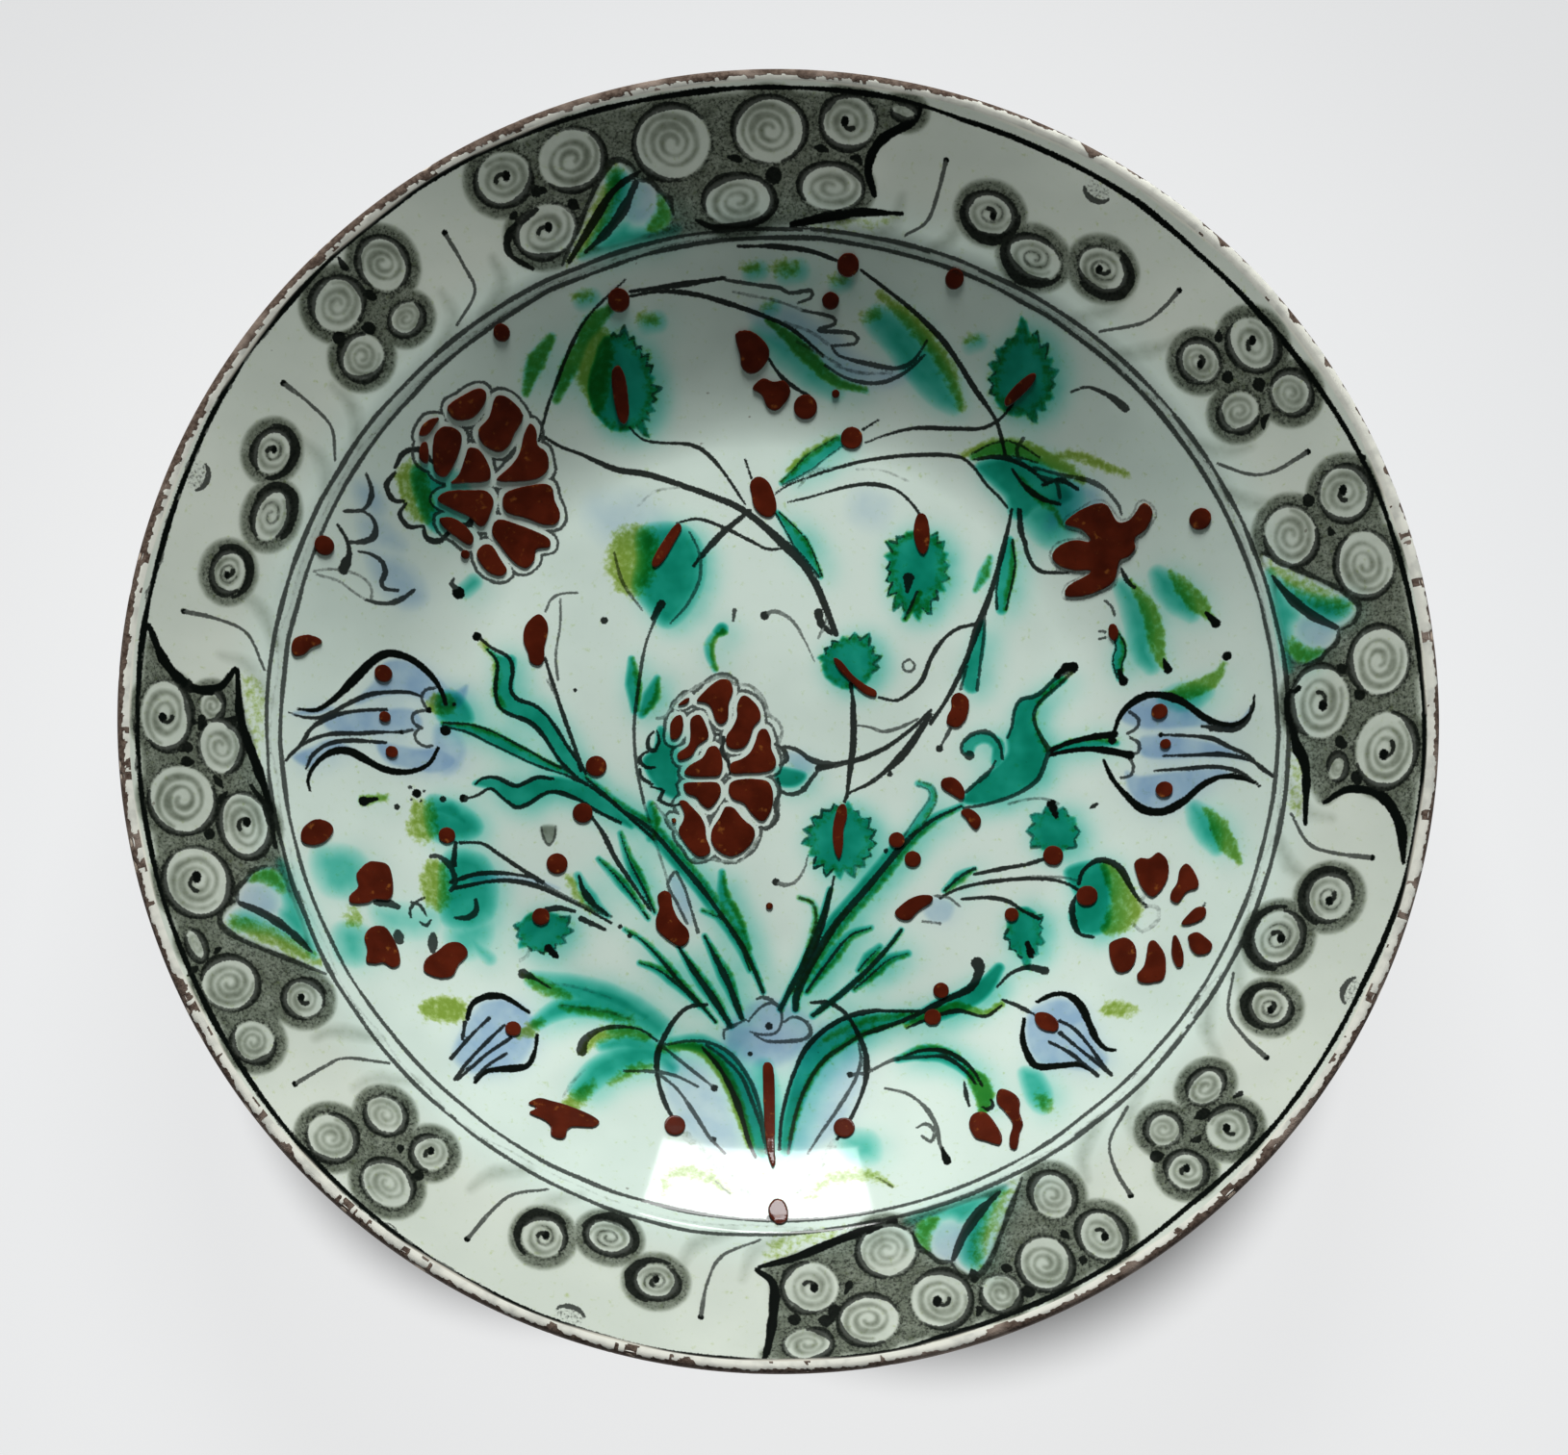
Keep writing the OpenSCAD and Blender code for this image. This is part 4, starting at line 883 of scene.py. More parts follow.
stroke("olive", (1.5, 4.0, 3.5), "-42,-80.5 -46,-84.5 -48.5,-87", 0.7, 1.0)
stroke("olive", (1.0, 2.4, 1.2), "-28,-75.4 -33,-76.8 -38,-80.3", 0.7, 0.8)
line((1.7, 0.6, 0.4), "-58.3,-54.2 -56,-55 -52,-57.5", 0.9)
line((0.4, 0.6, 0.4), "-50,-61.5 -44,-62 -38,-63 -33,-64.6", 0.5)
line((1.9, 0.9, 0.5, 0.5), "-44.8,-72.5 -44.3,-70 -42,-67.8 -39,-66.6 -35,-66.3 -31,-67 -27.5,-69.5",
    0.9)
lines((0.4, 0.7, 0.4), "-44,-77 -47,-80.5 -49,-84", "-52,-56.2 -45,-57.2 -38,-59.6", tone=0.4)
line(0.6, "-59,-51 -57.5,-50 -57,-48.5", 0.5)
line((0.6, 1.0, 1.8), "20,-68 26,-66 32,-63.5 36,-61.5 40,-59.5 45,-57 47,-53 46.5,-51.3")
leaf((1.2, 4.8, 4.6, 2.0), "30,-64.8 37,-62.5 43,-60 48,-57 51.5,-52.5", 0.95, 0.0)
stroke("olive", (1.0, 2.0, 1.4), "30,-66 36,-63 42,-61.5 48,-63 52,-61", 0.75, 0.5)
lines((0.5, 0.9, 0.5), "30,-66.5 36,-64 42,-62.5 48,-64 52,-61.5", "52,-60 56,-62 60,-64.5")
line((0.5, 0.8, 1.6), "51,-57 54,-54 58,-52.5 62,-53.5")
leaf((1.2, 3.6, 3.4, 1.6), "28,-74 33,-72.6 38,-73 42,-75.5 45,-79", 0.85, 0.1)
leaf((1.6, 4.4, 4.2, 2.0), "44.5,-77.5 46.5,-80.5 47.5,-84 47,-87", 0.35, 0.95)
lines((0.5, 0.9, 0.5), "28,-74 33,-72 38,-72 42,-74 45,-77 47,-81",
    "33,-73.5 38,-73.5 41,-75 44,-78 45.5,-80.5", "43,-80 43.5,-84 44,-86",
    "49,-84.6 49.3,-86 48.2,-87 47,-86.3", "73,-15 74.5,-14.2")
lines(0.5, "31,20 29.6,19 30,17.4 31.6,17.2 32.4,18.6 31.4,19.8", tone=0.8)
print("lower leaves drawn")

# %% [markdown]
# The border: clusters of coiled roundels on a grainy grey ground, parted by black hooks, with
# green leaves tucked between. It is planned in degrees round the rim and millimetres from the
# axis. The ground is laid first, then each roundel and leaf is wiped clean and drawn.

# %% Border tools


def oval(angle, radius, half_degrees, half_height, grow=0.0, tilt=0.0, count=36):
    """An oval on the border; its width is given in degrees."""
    a = math.radians(angle)
    half_width = math.radians(half_degrees) * radius + grow
    t = np.linspace(0, 2 * math.pi, count, endpoint=False)
    u, v = half_width * np.cos(t), (half_height + grow) * np.sin(t)
    s, c = math.sin(tilt), math.cos(tilt)
    u, v = u * c - v * s, u * s + v * c
    return np.column_stack([(radius + v) * math.cos(a) - u * math.sin(a),
                            (radius + v) * math.sin(a) + u * math.cos(a)])


def halo_ground(roundel, strength):
    """Grainy ground round one roundel, darkest against its edge."""
    angle, radius, half_degrees, half_height = roundel[:4]
    wide = oval(angle, radius, half_degrees, half_height, 2.7)
    patch("smoke", wide, strength, 0.6)
    patch("ground", wide, strength * 0.5, 0.8)
    patch("ground", oval(angle, radius, half_degrees, half_height, 1.2), strength, 1.2)


def coil(roundel, outline):
    """One coiled roundel: a grey wash wound inwards, and a broken dark outline."""
    angle, radius, half_degrees, half_height = roundel[:4]
    shape = oval(angle, radius, half_degrees, half_height)
    start = rng.random() * 6.28
    patch("smoke", shape, 0.03 + 0.07 * rng.random(), 0.8)
    long_arc = (rng.integers(20, 32), (0.5, 1.6, 0.8, 1.4, 0.5), outline)
    short_arc = (14, (0.3, 0.8, 0.3), outline * 0.8)
    for amount, width, tone_out in (long_arc, short_arc):
        line(width, smooth(np.roll(shape, rng.integers(36), 0)[:amount]), tone_out)
    small_side = min(half_height, math.radians(half_degrees) * radius)
    turns = np.linspace(0, 1, 70)
    a = math.radians(angle)
    spin = start + turns * 2 * math.pi * (1.3 + 0.12 * small_side + 0.5 * rng.random())
    scale = (0.80 - 0.66 * turns) * (1 + 0.05 * np.sin(2 * spin + start) + 0.012 * np.sin(5.3 * spin))
    u = math.radians(half_degrees) * radius * scale * np.cos(spin)
    v = half_height * scale * np.sin(spin)
    path = np.column_stack([(radius + v) * math.cos(a) - u * math.sin(a),
                            (radius + v) * math.sin(a) + u * math.cos(a)])
    wash = np.array([0.3, 1.1, 0.4, 1.3, 0.3, 1.0, 0.6]) * (0.58 + 0.14 * small_side)
    stroke("smoke", wash, path, 0.62 + 0.2 * rng.random(), 0.45 + 0.3 * rng.random())
    stroke("smoke", small_side * 1.5, path[-20:], 0.12, 1.2)
    if outline > 0.84:
        line((0.3, 0.5, 0.3, 0.5), path[26:], 0.5)
    if len(roundel) > 4 and roundel[4]:
        centre = path[-1]
        dot(centre[0], centre[1], 0.4 + 0.1 * small_side, 1.0, 1.3)
        line((0.8, 0.5), path[-14:], 0.9)


def ring(width, text, tone=1.0, start=0.0, stop=360.0, grain=0.05):
    """A line round the dish whose radius wanders a little."""
    p = points(text)
    angles = np.arange(start, stop + 0.4, 0.5)
    radii = np.interp(angles % 360, p[:, 0], p[:, 1], period=360)
    radii = radii + grain * np.interp(angles, np.linspace(start, stop, 90), rng.standard_normal(90))
    a = np.radians(angles)
    path = np.column_stack([radii * np.cos(a), radii * np.sin(a)])
    widths = width * (1 + 0.16 * rng.standard_normal(120))
    idx, depth = inside_stroke(path, widths, 1.0)
    put_line(idx, depth, tone)


# %% [markdown]
# Every roundel is given as angle, radius, half width in degrees, half height in millimetres,
# and 1 if it has a black eye.

# %% Roundels
clusters = points("355.2,128,1.4,2,0 356.9,138.4,3.6,6.6,1 5.5,137.6,3.3,6.5,0 2.2,124,3.9,6.4,1 "
    "14.8,138.5,3.2,6.3,0 20.2,125.3,3.2,5.7,0 21.8,139.4,2.6,5.6,1 " "78.3,143.3,1.2,1.6,0 "
    "83.3,139.3,2.6,5.6,1 84.3,125.3,3.4,5,0 90.8,136.8,3.5,7,0 94.2,122.2,3.8,5.3,0 "
    "100.3,136,3.7,7.8,0 110.1,138,3.2,6.5,0 115,126,3.3,5.5,1 "
    "116.8,139.8,2.7,5.6,1 " "180,139.2,3.3,5.5,1 178.6,129,1.5,2.6,0 182.8,127.2,2.8,4.8,0 "
    "188.1,136.7,3.3,7.4,0 191.2,123.8,3.5,5.6,1 196.1,137.2,3.4,7.4,1 201.9,142,1.5,2,0 "
    "206.3,138.5,2.6,6.3,0 210.7,125.3,2.1,4.5,1 212.2,140.3,2,4.7,0 " "272.5,143.4,2.2,3.6,0 "
    "273.1,130,2.8,6,1 278.3,139,2.8,5.9,0 281.4,123.5,3.1,6.3,0 285.3,137.8,2.8,6.8,1 "
    "290.7,140.8,1.8,4.5,0 295.6,138.4,2.5,6.5,0 299.7,125,2.2,5.7,0 301.5,138.9,2.1,6.1,1")
fours = points("32.6,139.4,2.1,4.3,0 38.5,139,2.7,5,1 34.2,128,2,4.4,0 40.8,128,2.3,4.2,1 "
    "130.8,138.6,2.3,6,0 136.6,138.8,2.6,5.6,0 132.4,126.5,1.9,3.4,0 "
    "138.5,127.3,2.4,4.7,0 " "223.7,139.6,2.4,5.3,0 230.4,138.6,2.6,5.1,0 225.5,127,2.2,4.3,0 "
    "231.5,126.8,1.9,4.1,1 311.5,138.6,1.8,4.7,1 317.2,138.7,2.2,5.1,1 312.9,128,1.8,3.9,0 "
    "319,128.2,2.1,3.7,0")
threes = points("54.6,129,2.7,4.3,1 61.4,123.5,3,4.2,0 67.5,128,2.6,4.3,1 151.9,131.2,2.3,3.9,1 "
    "157.7,125.3,2.8,3.8,0 164.9,130,2.2,3.7,1 " "245.8,129.8,2.2,4.8,1 252,124.3,2.5,3.9,0 "
    "257.8,131.5,2.2,4.1,1 329.4,129.6,1.9,4.7,1 336.4,124,3,5.5,1 341.9,131.7,2.5,5.1,1")
everything = np.vstack([clusters, fours, threes])
print(len(everything), "roundels")

# %% [markdown]
# The grey ground goes down before the roundels, and each roundel's oval is then wiped clean. It
# is darkest against the ovals, where the painter cut in round them with the tip of the brush.

# %% Grey ground
grounds = ("77.5,145 90,145 105,145.6 113,145.6 118,144 119,137 117,130 118,124 114,119 105,117.5 "
    "88,117.3 82,120.3 79.8,124 80.8,130.5 80,136.5 77.3,142",
    "173.5,144.6 185,144.8 200,144.8 209,145 214,142 214,136 211,131 212.6,125 209,120 200,117.3 "
    "190,117.3 184,119.8 175.5,124.5 176.8,128 177,134 175,140",
    "269,146.6 280,146.2 295,145.2 303,144 304,138 302,131 302,124 299,119 290,117 283,117 277,119 "
    "268.6,125 269.4,129 269.4,136 269,143", "347.5,145.6 357,145.8 370,145.4 380,145 384,143 384,137 "
    "382.5,131 383,124 379,119.5 370,118 363,117.5 358,118.8 351.5,125 353,131 352.5,138 350,143")
for shape in grounds:
    patch("ground", around(shape), 0.50, 1.0)
    patch("smoke", around(shape), 0.85, 0.8)
for four in np.split(fours[:, :2], 4):
    middle_of_four = around(four[[0, 1, 3, 2]])
    patch("smoke", middle_of_four, 0.85, 1.0)
    patch("ground", middle_of_four, 0.5, 1.0)
for group, strength in ((clusters, 0.9), (fours, 0.95), (threes, 0.85)):
    for roundel in group:
        halo_ground(roundel, strength)
for roundel in everything:
    wipe(*inside_outline(oval(*roundel[:4]), 0.6), "ground", "smoke")
print(len(grounds), "grounds laid")

# %% [markdown]
# Where two roundels nearly touch, black dabs close the gap on both sides of the meeting point.

# %% Dabs between roundels
centres = np.array([oval(r[0], r[1], 0.01, 0.01).mean(0) for r in everything])
sizes = np.array([(r[3] + math.radians(r[2]) * r[1]) / 2 for r in everything])
CLOSE = 3.0   # a gap narrower than this gets dabs
touching = 0
for i in range(len(everything)):
    for j in range(i + 1, len(everything)):
        way = centres[j] - centres[i]
        apart = np.hypot(*way)
        if apart - sizes[i] - sizes[j] >= CLOSE:
            continue
        touching += 1
        along = way / apart
        middle_point = centres[i] + along * (sizes[i] + (apart - sizes[i] - sizes[j]) / 2)
        across_way = np.array([-along[1], along[0]])
        for side in (-1, 1):
            reach = 2.0 + 2.5 * rng.random()
            p = middle_point + across_way * side * reach
            q = (middle_point + across_way * side * (reach + 1.5 + 1.5 * rng.random())
                 + 0.5 * rng.standard_normal(2))
            width = (0.6, 1.2 + 1.5 * rng.random(), 0.5)
            line(width, np.array([p, (p + q) / 2 + 0.3 * rng.standard_normal(2), q]), 0.95)
print(touching, "pairs of roundels nearly touch")

# %% [markdown]
# Now the coils. Dabs that ran into an oval are wiped off first. The roundels in threes stand on
# the pale glaze with no ground of their own, so each gets one more heavy arc round its outside.

# %% Coils
for roundel in everything:
    idx, depth = inside_outline(oval(*roundel[:4]), 0.4)
    canvas["line"][idx[depth > 0.1]] = NO_LINE
for group, outline in ((clusters, 0.82), (fours, 0.8), (threes, 0.85)):
    for roundel in group:
        coil(roundel, outline)
for roundel in threes:
    shape = oval(*roundel[:4], 1.0)
    first = rng.integers(10, 20)
    line((0.6, 1.9, 0.6), smooth(np.roll(shape, -first, 0)[:20]), 0.9)
print("coils drawn")

# %% [markdown]
# A two-lobed leaf grows from the ring into each grey ground. The four are one shape at four
# angles, each with its own share of copper and olive, and it is wiped clean before it is filled.

# %% Border leaves


def lobe(base, text):
    """A shape of a border leaf: degrees on from its base corner, and radius."""
    p = points(text)
    return around(np.column_stack([base - p[:, 0], p[:, 1]]))


BIG_LOBE = "0,118 2.5,122.5 5,128 7,132.5 8.5,134.6 9.4,133 9.9,130 8.8,126 6.5,122.5 3.5,119"
PALE_LOBE = "9.9,130 11,129 11.8,126.5 11.6,122.5 10.5,118.5 6,117.8 4,119 6.5,122 8.5,125.5"
SIDE_LOBE = "12,126 12.8,123 12.5,119.5 10.8,118 9.8,119.5 11.4,122.5"
for base, copper, olive in ((114.5, 0.8, 0.75), (19.5, 0.75, 0.5), (297.6, 0.65, 0.45), (209, 0.3,
        0.65)):
    for shape in (BIG_LOBE, PALE_LOBE, SIDE_LOBE):
        wipe(*inside_outline(as_path(lobe(base, shape), True), 0.6), "ground", "smoke")
    patch("cobalt", lobe(base, BIG_LOBE), 0.10, 0.6)
    patch("cobalt", lobe(base, "9.6,129.5 11,128.5 11.6,126 11,122.5 9.5,121 8,123"), 0.42, 1.0)
    patch("olive", lobe(base, "0.4,118 2.6,122 5.2,127.5 7.2,132 8.2,134 8.6,131.5 7.4,127 "
        "5,122 3,119"), olive, 1.4)
    patch("copper", lobe(base, "3,118.6 5.4,123 7,128 7.6,132 8.4,132.5 8.9,129.5 8,126 "
        "6,122 4.5,119.6"), copper, 1.5)
    patch("copper", lobe(base, "2,118.2 5,119.8 7.5,121.3 8.5,119.5 12.6,118.4 12.8,117.4 7,117.3"),
        0.5, 1.3)
    patch("olive", lobe(base, SIDE_LOBE), 0.7, 0.8)
    patch("copper", lobe(base, SIDE_LOBE), 0.3, 0.8)
    line((0.6, 1.6, 1.7, 0.9), lobe(base, "2.6,118.6 5.5,121 8,124.7 9.9,129.4"), 0.9)
    lines((0.5, 1.1, 0.7, 1.2, 0.5), lobe(base,
        "-0.3,118 2.2,122.8 4.7,128.3 6.7,132.8 8.4,135.1 9.8,133.5 10.2,130.5"), lobe(base,
        "10.2,129.8 11.4,129 12.1,126.5 12.9,124.5 13.1,121"), tone=0.75)
print("border leaves drawn")

# %% [markdown]
# A black hook ends each ground on one side, and a dark band runs under it along the ring.

# %% Hooks and bands
for wedge in ("76.5,121.8 81,119.8 87,117.2 80,117", "175,123.6 180,121.4 184,118.6 176,117.5",
        "268.5,124 273,120.5 278,117.3 270,117", "349.6,121.6 355,120.4 358.5,117.6 351,118"):
    patch("olive", around(wedge), 0.28, 1.0)
for hook in ("77,145 77.3,142 80,136.5 80.8,130.5 79.7,125",
        "172,144.5 175,140 177,134 176.8,128 174.5,124.5",
        "268.6,147 269,143 269.4,136 269.4,129 267.7,125.7",
        "346.5,145.5 350,143 352.5,138 353,131 351.5,126"):
    line((0.8, 1.7, 1.9, 1.6, 1.0), around(hook), 1.0)
for band in ("76.4,122.3 81.7,120.5 88.3,117", "174.5,124 180,122.5 184.5,119.5 190,117",
        "268,125 272,122.5 277,119 283,117", "349,122.5 355,121 358,118.5 363,117 364,119.5"):
    line((0.7, 1.6, 1.8, 1.2), around(band), 1.0)
for edge in ("90,122 90.5,119.5 93,117.2 97,117 99,119", "104,131.5 107,129 110,124 114,118",
        "115,131 118.5,129 119.5,125 118,120", "187,121 190,118.2 194,118"):
    line((0.8, 1.5, 0.8), around(edge), 0.95)
print("hooks drawn")

# %% [markdown]
# Thin tendrils curl between the groups. Each starts with a drop where the brush landed, and has
# a faint grey shadow on both sides, which is its own path turned a few degrees.

# %% Tendrils
tendrils = ("27,136 27,128 28,123 31,118", "47.2,135.5 47.3,130 48,125 51,118",
    "73.4,135.5 73.3,128 73.6,122 75.5,118", "124.2,136 124.3,128 124.8,122 128.5,118.5",
    "145.7,137 145.7,130 146.3,123 149,118.5", "169.9,137.5 169.8,130 170.5,123 174,118",
    "217.6,138 217.8,130 218.3,125 221.5,118", "239.5,138.5 240,130 241,124 244,119",
    "262.6,138 262.8,130 264,123 268,118.5", "306,135 306.5,128 308,122 312,118.5",
    "324.8,135 325.5,128 327,122 331,118.5", "346.5,138.5 346.4,130 347,124 350,119")
for shape in tendrils:
    path = around(shape)
    line((0.9, 0.65, 0.6, 0.5), path, 0.8)
    dot(path[0, 0], path[0, 1], 0.75, 1.0)
    for turn, strength in ((-3, 0.16), (3.5, 0.12)):
        a = math.radians(turn)
        spun = path @ np.array([[math.cos(a), math.sin(a)], [-math.sin(a), math.cos(a)]])
        stroke("smoke", (1.0, 3.0, 1.5), spun[1:] * 0.985, strength * 1.6, 1.2)
for angle, radius in points("59,142.6 157.5,143.4 251,145 334,144.5"):
    patch("ground", oval(angle, radius, 1.3, 2.0), 0.45, 0.8)
    line((0.5, 1.1, 0.5), smooth(oval(angle, radius - 0.3, 1.3, 2.0)[19:35]), 0.85)
print(len(tendrils), "tendrils")

# %% [markdown]
# Three lines run right round: one inside the lip, and two where the wall meets the rim, with a
# faint grey between them. They were pulled while the dish turned, so they wander only a little.

# %% Ring lines
outer_line = ("0,146.6 10,146.1 20,145.9 25,145.6 30,145.1 40,144.2 48,144 55,144.8 65,144.6 73,144.8 "
    "80,145.7 100,145.8 113,146.5 120,146.9 140,146.6 147,146.8 " "155,146 165,145.4 185,145.5 "
    "205,145.5 222,146.1 236,146.8 245,147.1 258,147.4 270,147.3 280,147.2 284,146.2 300,145.9 "
    "309,145.1 320,145.8 335,145.7 345,147 355,146.7")
ring(1.25, outer_line)
ring(0.5, outer_line, 0.7, 140, 240, 0.5)
upper_ring = "0,117 60,116.4 95,116 150,116.8 180,116.8 200,116.5 235,117 260,118 280,116 300,116.4 350,117.1"
lower_ring = "0,114.6 90,114.3 180,113.7 195,113.4 225,113 245,113.3 280,113.8 310,113.6 355,114.5"
ring(1.0, upper_ring, 0.85, 0, 360, 0.12)
ring(0.95, lower_ring, 0.85, 0, 360, 0.12)
ring(0.5, "0,115.8 90,115.2 180,115.2 270,115.6", 0.3, 0, 360, 0.5)
for angle, radius in points("113,146.6 24,146 96,145.9 214,145.6"):
    a = math.radians(angle)
    dot(radius * math.cos(a), radius * math.sin(a), 0.8)
print("border drawn")

# %% [markdown]
# Each petal of the two big carnations is reserved on white and edged with a thin grey line. The
# line keeps a steady gap from the red dabs, so it is found from their distance, not drawn by hand.

# %% Petal edges


def edge_round(node, gap, width, tone, clear):
    """A thin line at a steady gap round the dabs of one red node."""
    piece = bpy.data.objects[node]
    rims = []
    for rim in piece.data.edges:
        p, q = (np.array((piece.matrix_world @ piece.data.vertices[i].co).xy) / MM for i in rim.vertices)
        rims.append(np.linspace(p, q, 2 + int(np.hypot(*(q - p)) / 0.4)))
    rims = np.vstack(rims)
    cloud = np.unique((rims / 0.2).round().astype(int), axis=0) * 0.2
    idx = near(cloud.min(0) - gap - 1.5, cloud.max(0) + gap + 1.5)
    gaps = np.full(len(idx), 9.0)
    for first in range(0, len(idx), 4000):
        part = idx[first:first + 4000]
        for k in range(0, len(cloud), 600):
            c = cloud[k:k + 600]
            d = np.hypot(PX[part][:, None] - c[None, :, 0], PY[part][:, None] - c[None, :, 1]).min(1)
            gaps[first:first + 4000] = np.minimum(gaps[first:first + 4000], d)
    close = gaps < gap
    for pigment in clear:
        canvas[pigment][idx[close]] *= 0.25
    wander = 0.25 * np.sin(PX[idx] * 0.7) * np.cos(PY[idx] * 0.8)
    put_line(idx, width / 2 - np.abs(gaps - gap - wander), tone)


edge_round("red_left_carnation", 1.4, 0.75, 0.85, ("copper",))
edge_round("red_centre_carnation", 1.3, 0.75, 0.8, ("copper",))
edge_round("red_iris", 0.5, 0.5, 0.5, ())

# %% [markdown]
# In the kiln the pigments bleed: a pale halo spreads from every wash, a little to the right and
# downhill. The densities are summed on a coarse 1 mm sheet, blurred there, and read back shifted.

# %% Bleeding glaze


def bleed(pigment, spread, strength, drift=(0.0, 0.0)):
    """Adds a blurred, shifted copy of a pigment to itself."""
    wide = 2 * HALF
    cell_i = np.clip((PX + HALF).astype(int), 0, wide - 1)
    cell_j = np.clip((PY + HALF).astype(int), 0, wide - 1)
    total, hits = np.zeros((wide, wide)), np.zeros((wide, wide))
    np.add.at(total, (cell_i, cell_j), canvas[pigment])
    np.add.at(hits, (cell_i, cell_j), 1)
    sheet = total / np.maximum(hits, 1)
    reach = np.arange(-int(3 * spread), int(3 * spread) + 1)
    kernel = np.exp(-reach ** 2 / (2 * spread ** 2))
    kernel /= kernel.sum()
    for axis in (0, 1):
        sheet = np.apply_along_axis(lambda row: np.convolve(row, kernel, "same"), axis, sheet)
    x, y = PX + (HALF - 0.5) - drift[0], PY + (HALF - 0.5) - drift[1]
    i, j = np.clip(x.astype(int), 0, wide - 2), np.clip(y.astype(int), 0, wide - 2)
    u, v = np.clip(x - i, 0, 1), np.clip(y - j, 0, 1)
    back = ((1 - u) * (1 - v) * sheet[i, j] + u * (1 - v) * sheet[i + 1, j]
            + (1 - u) * v * sheet[i, j + 1] + u * v * sheet[i + 1, j + 1])
    canvas[pigment] = 1 - (1 - canvas[pigment]) * (1 - np.clip(back * strength, 0, 0.9))


bleed("copper", 2.6, 0.46, (1.8, -0.8))
bleed("cobalt", 2.2, 0.6, (1.0, -0.5))
bleed("olive", 1.2, 0.3, (0.5, 0))
bleed("smoke", 0.8, 0.1)
print("pigments spread")

# %% [markdown]
# The finished canvas is cut up again, and each skin gets its own part as named attributes. A
# cream tint marks the last half millimetre before the lip, where the glaze ran thin.

# %% Store the pigments
canvas["cream"] = np.clip((PR - 146.9 + 0.3 * np.sin(PA * 0.4)) / 0.5, 0, 1)
names = {"smoke": "grey_wash", "line": "black_line", "weight": "line_weight", "copper": "copper_green",
    "olive": "olive_green", "cobalt": "cobalt_blue", "ground": "grey_ground", "cream": "cream"}
row = 0
for skin, count in zip(skins, counts):
    for pigment, name in names.items():
        store = skin.data.attributes.new(name, "FLOAT", "POINT")
        store.data.foreach_set("value", canvas[pigment][row:row + count])
    row += count
print("pigment stored on", len(skins), "skins")

# %% [markdown]
# Materials are wired from a few repeated steps, so a small helper keeps each recipe readable.
# Colours are linear. Every pattern is read from object coordinates, so it stays with the dish.

# %% Wiring helper


class Recipe:
    """One material, wired step by step."""

    def __init__(self, name):
        self.material = bpy.data.materials.new(name)
        self.material.use_nodes = True
        self.nodes = self.material.node_tree.nodes
        self.links = self.material.node_tree.links
        self.shader = self.nodes["Principled BSDF"]
        self.place = self.nodes.new("ShaderNodeTexCoord").outputs["Object"]

    def put(self, socket, value):
        """Sets a socket to a value, or links an output to it."""
        if hasattr(value, "is_linked") or hasattr(value, "links"):
            self.links.new(value, socket)
        elif isinstance(value, tuple):
            socket.default_value = (*value, 1.0) if len(socket.default_value) == 4 else value
        else:
            socket.default_value = value

    def store(self, name):
        """Reads an attribute of the mesh."""
        node = self.nodes.new("ShaderNodeAttribute")
        node.attribute_name = name
        return node.outputs["Fac"]

    def noise(self, scale, detail=2.0, rough=0.5):
        """Noise on the piece's own coordinates."""
        node = self.nodes.new("ShaderNodeTexNoise")
        self.put(node.inputs["Vector"], self.place)
        self.put(node.inputs["Scale"], scale)
        self.put(node.inputs["Detail"], detail)
        self.put(node.inputs["Roughness"], rough)
        return node.outputs["Fac"]

    def height(self):
        """Height above the table, in metres."""
        node = self.nodes.new("ShaderNodeSeparateXYZ")
        self.put(node.inputs[0], self.place)
        return node.outputs["Z"]

    def sum(self, operation, a, b=0.0, c=0.0):
        """One step of arithmetic."""
        node = self.nodes.new("ShaderNodeMath")
        node.operation = operation
        for socket, value in zip(node.inputs, (a, b, c)):
            self.put(socket, value)
        return node.outputs[0]

    def fit(self, value, low, high, to_low=0.0, to_high=1.0, smooth_step=True):
        """Stretches the range low to high over another range."""
        node = self.nodes.new("ShaderNodeMapRange")
        node.interpolation_type = "SMOOTHSTEP" if smooth_step else "LINEAR"
        for name, setting in (("Value", value), ("From Min", low), ("From Max", high),
                              ("To Min", to_low), ("To Max", to_high)):
            self.put(node.inputs[name], setting)
        return node.outputs[0]

    def mix(self, amount, a, b, blend="MIX"):
        """Blends two colours."""
        node = self.nodes.new("ShaderNodeMix")
        node.data_type = "RGBA"
        node.blend_type = blend
        self.put(node.inputs[0], amount)
        self.put(node.inputs[6], a)
        self.put(node.inputs[7], b)
        return node.outputs[2]

    def stain(self, colour, density, tint):
        """Colour seen through a stain: each channel falls off with the stain's density."""
        combine = self.nodes.new("ShaderNodeCombineColor")
        for socket, channel in zip(combine.inputs, tint):
            self.put(socket, self.sum("POWER", channel, density))
        return self.mix(1.0, colour, combine.outputs[0], "MULTIPLY")

    def bump(self, height, distance, strength=1.0):
        """Lifts the surface's normals by a height pattern."""
        node = self.nodes.new("ShaderNodeBump")
        self.put(node.inputs["Height"], height)
        self.put(node.inputs["Distance"], distance)
        self.put(node.inputs["Strength"], strength)
        self.links.new(node.outputs[0], self.shader.inputs["Normal"])

    def finish(self, colour, roughness, coat=0.0, coat_roughness=0.05):
        """Connects colour and gloss, and hands over the material."""
        self.put(self.shader.inputs["Base Color"], colour)
        self.put(self.shader.inputs["Roughness"], roughness)
        self.shader.inputs["Coat Weight"].default_value = coat
        self.shader.inputs["Coat Roughness"].default_value = coat_roughness
        self.shader.inputs["Coat IOR"].default_value = 1.45
        self.shader.inputs["Specular IOR Level"].default_value = 0.15 if coat else 0.4
        return self.material


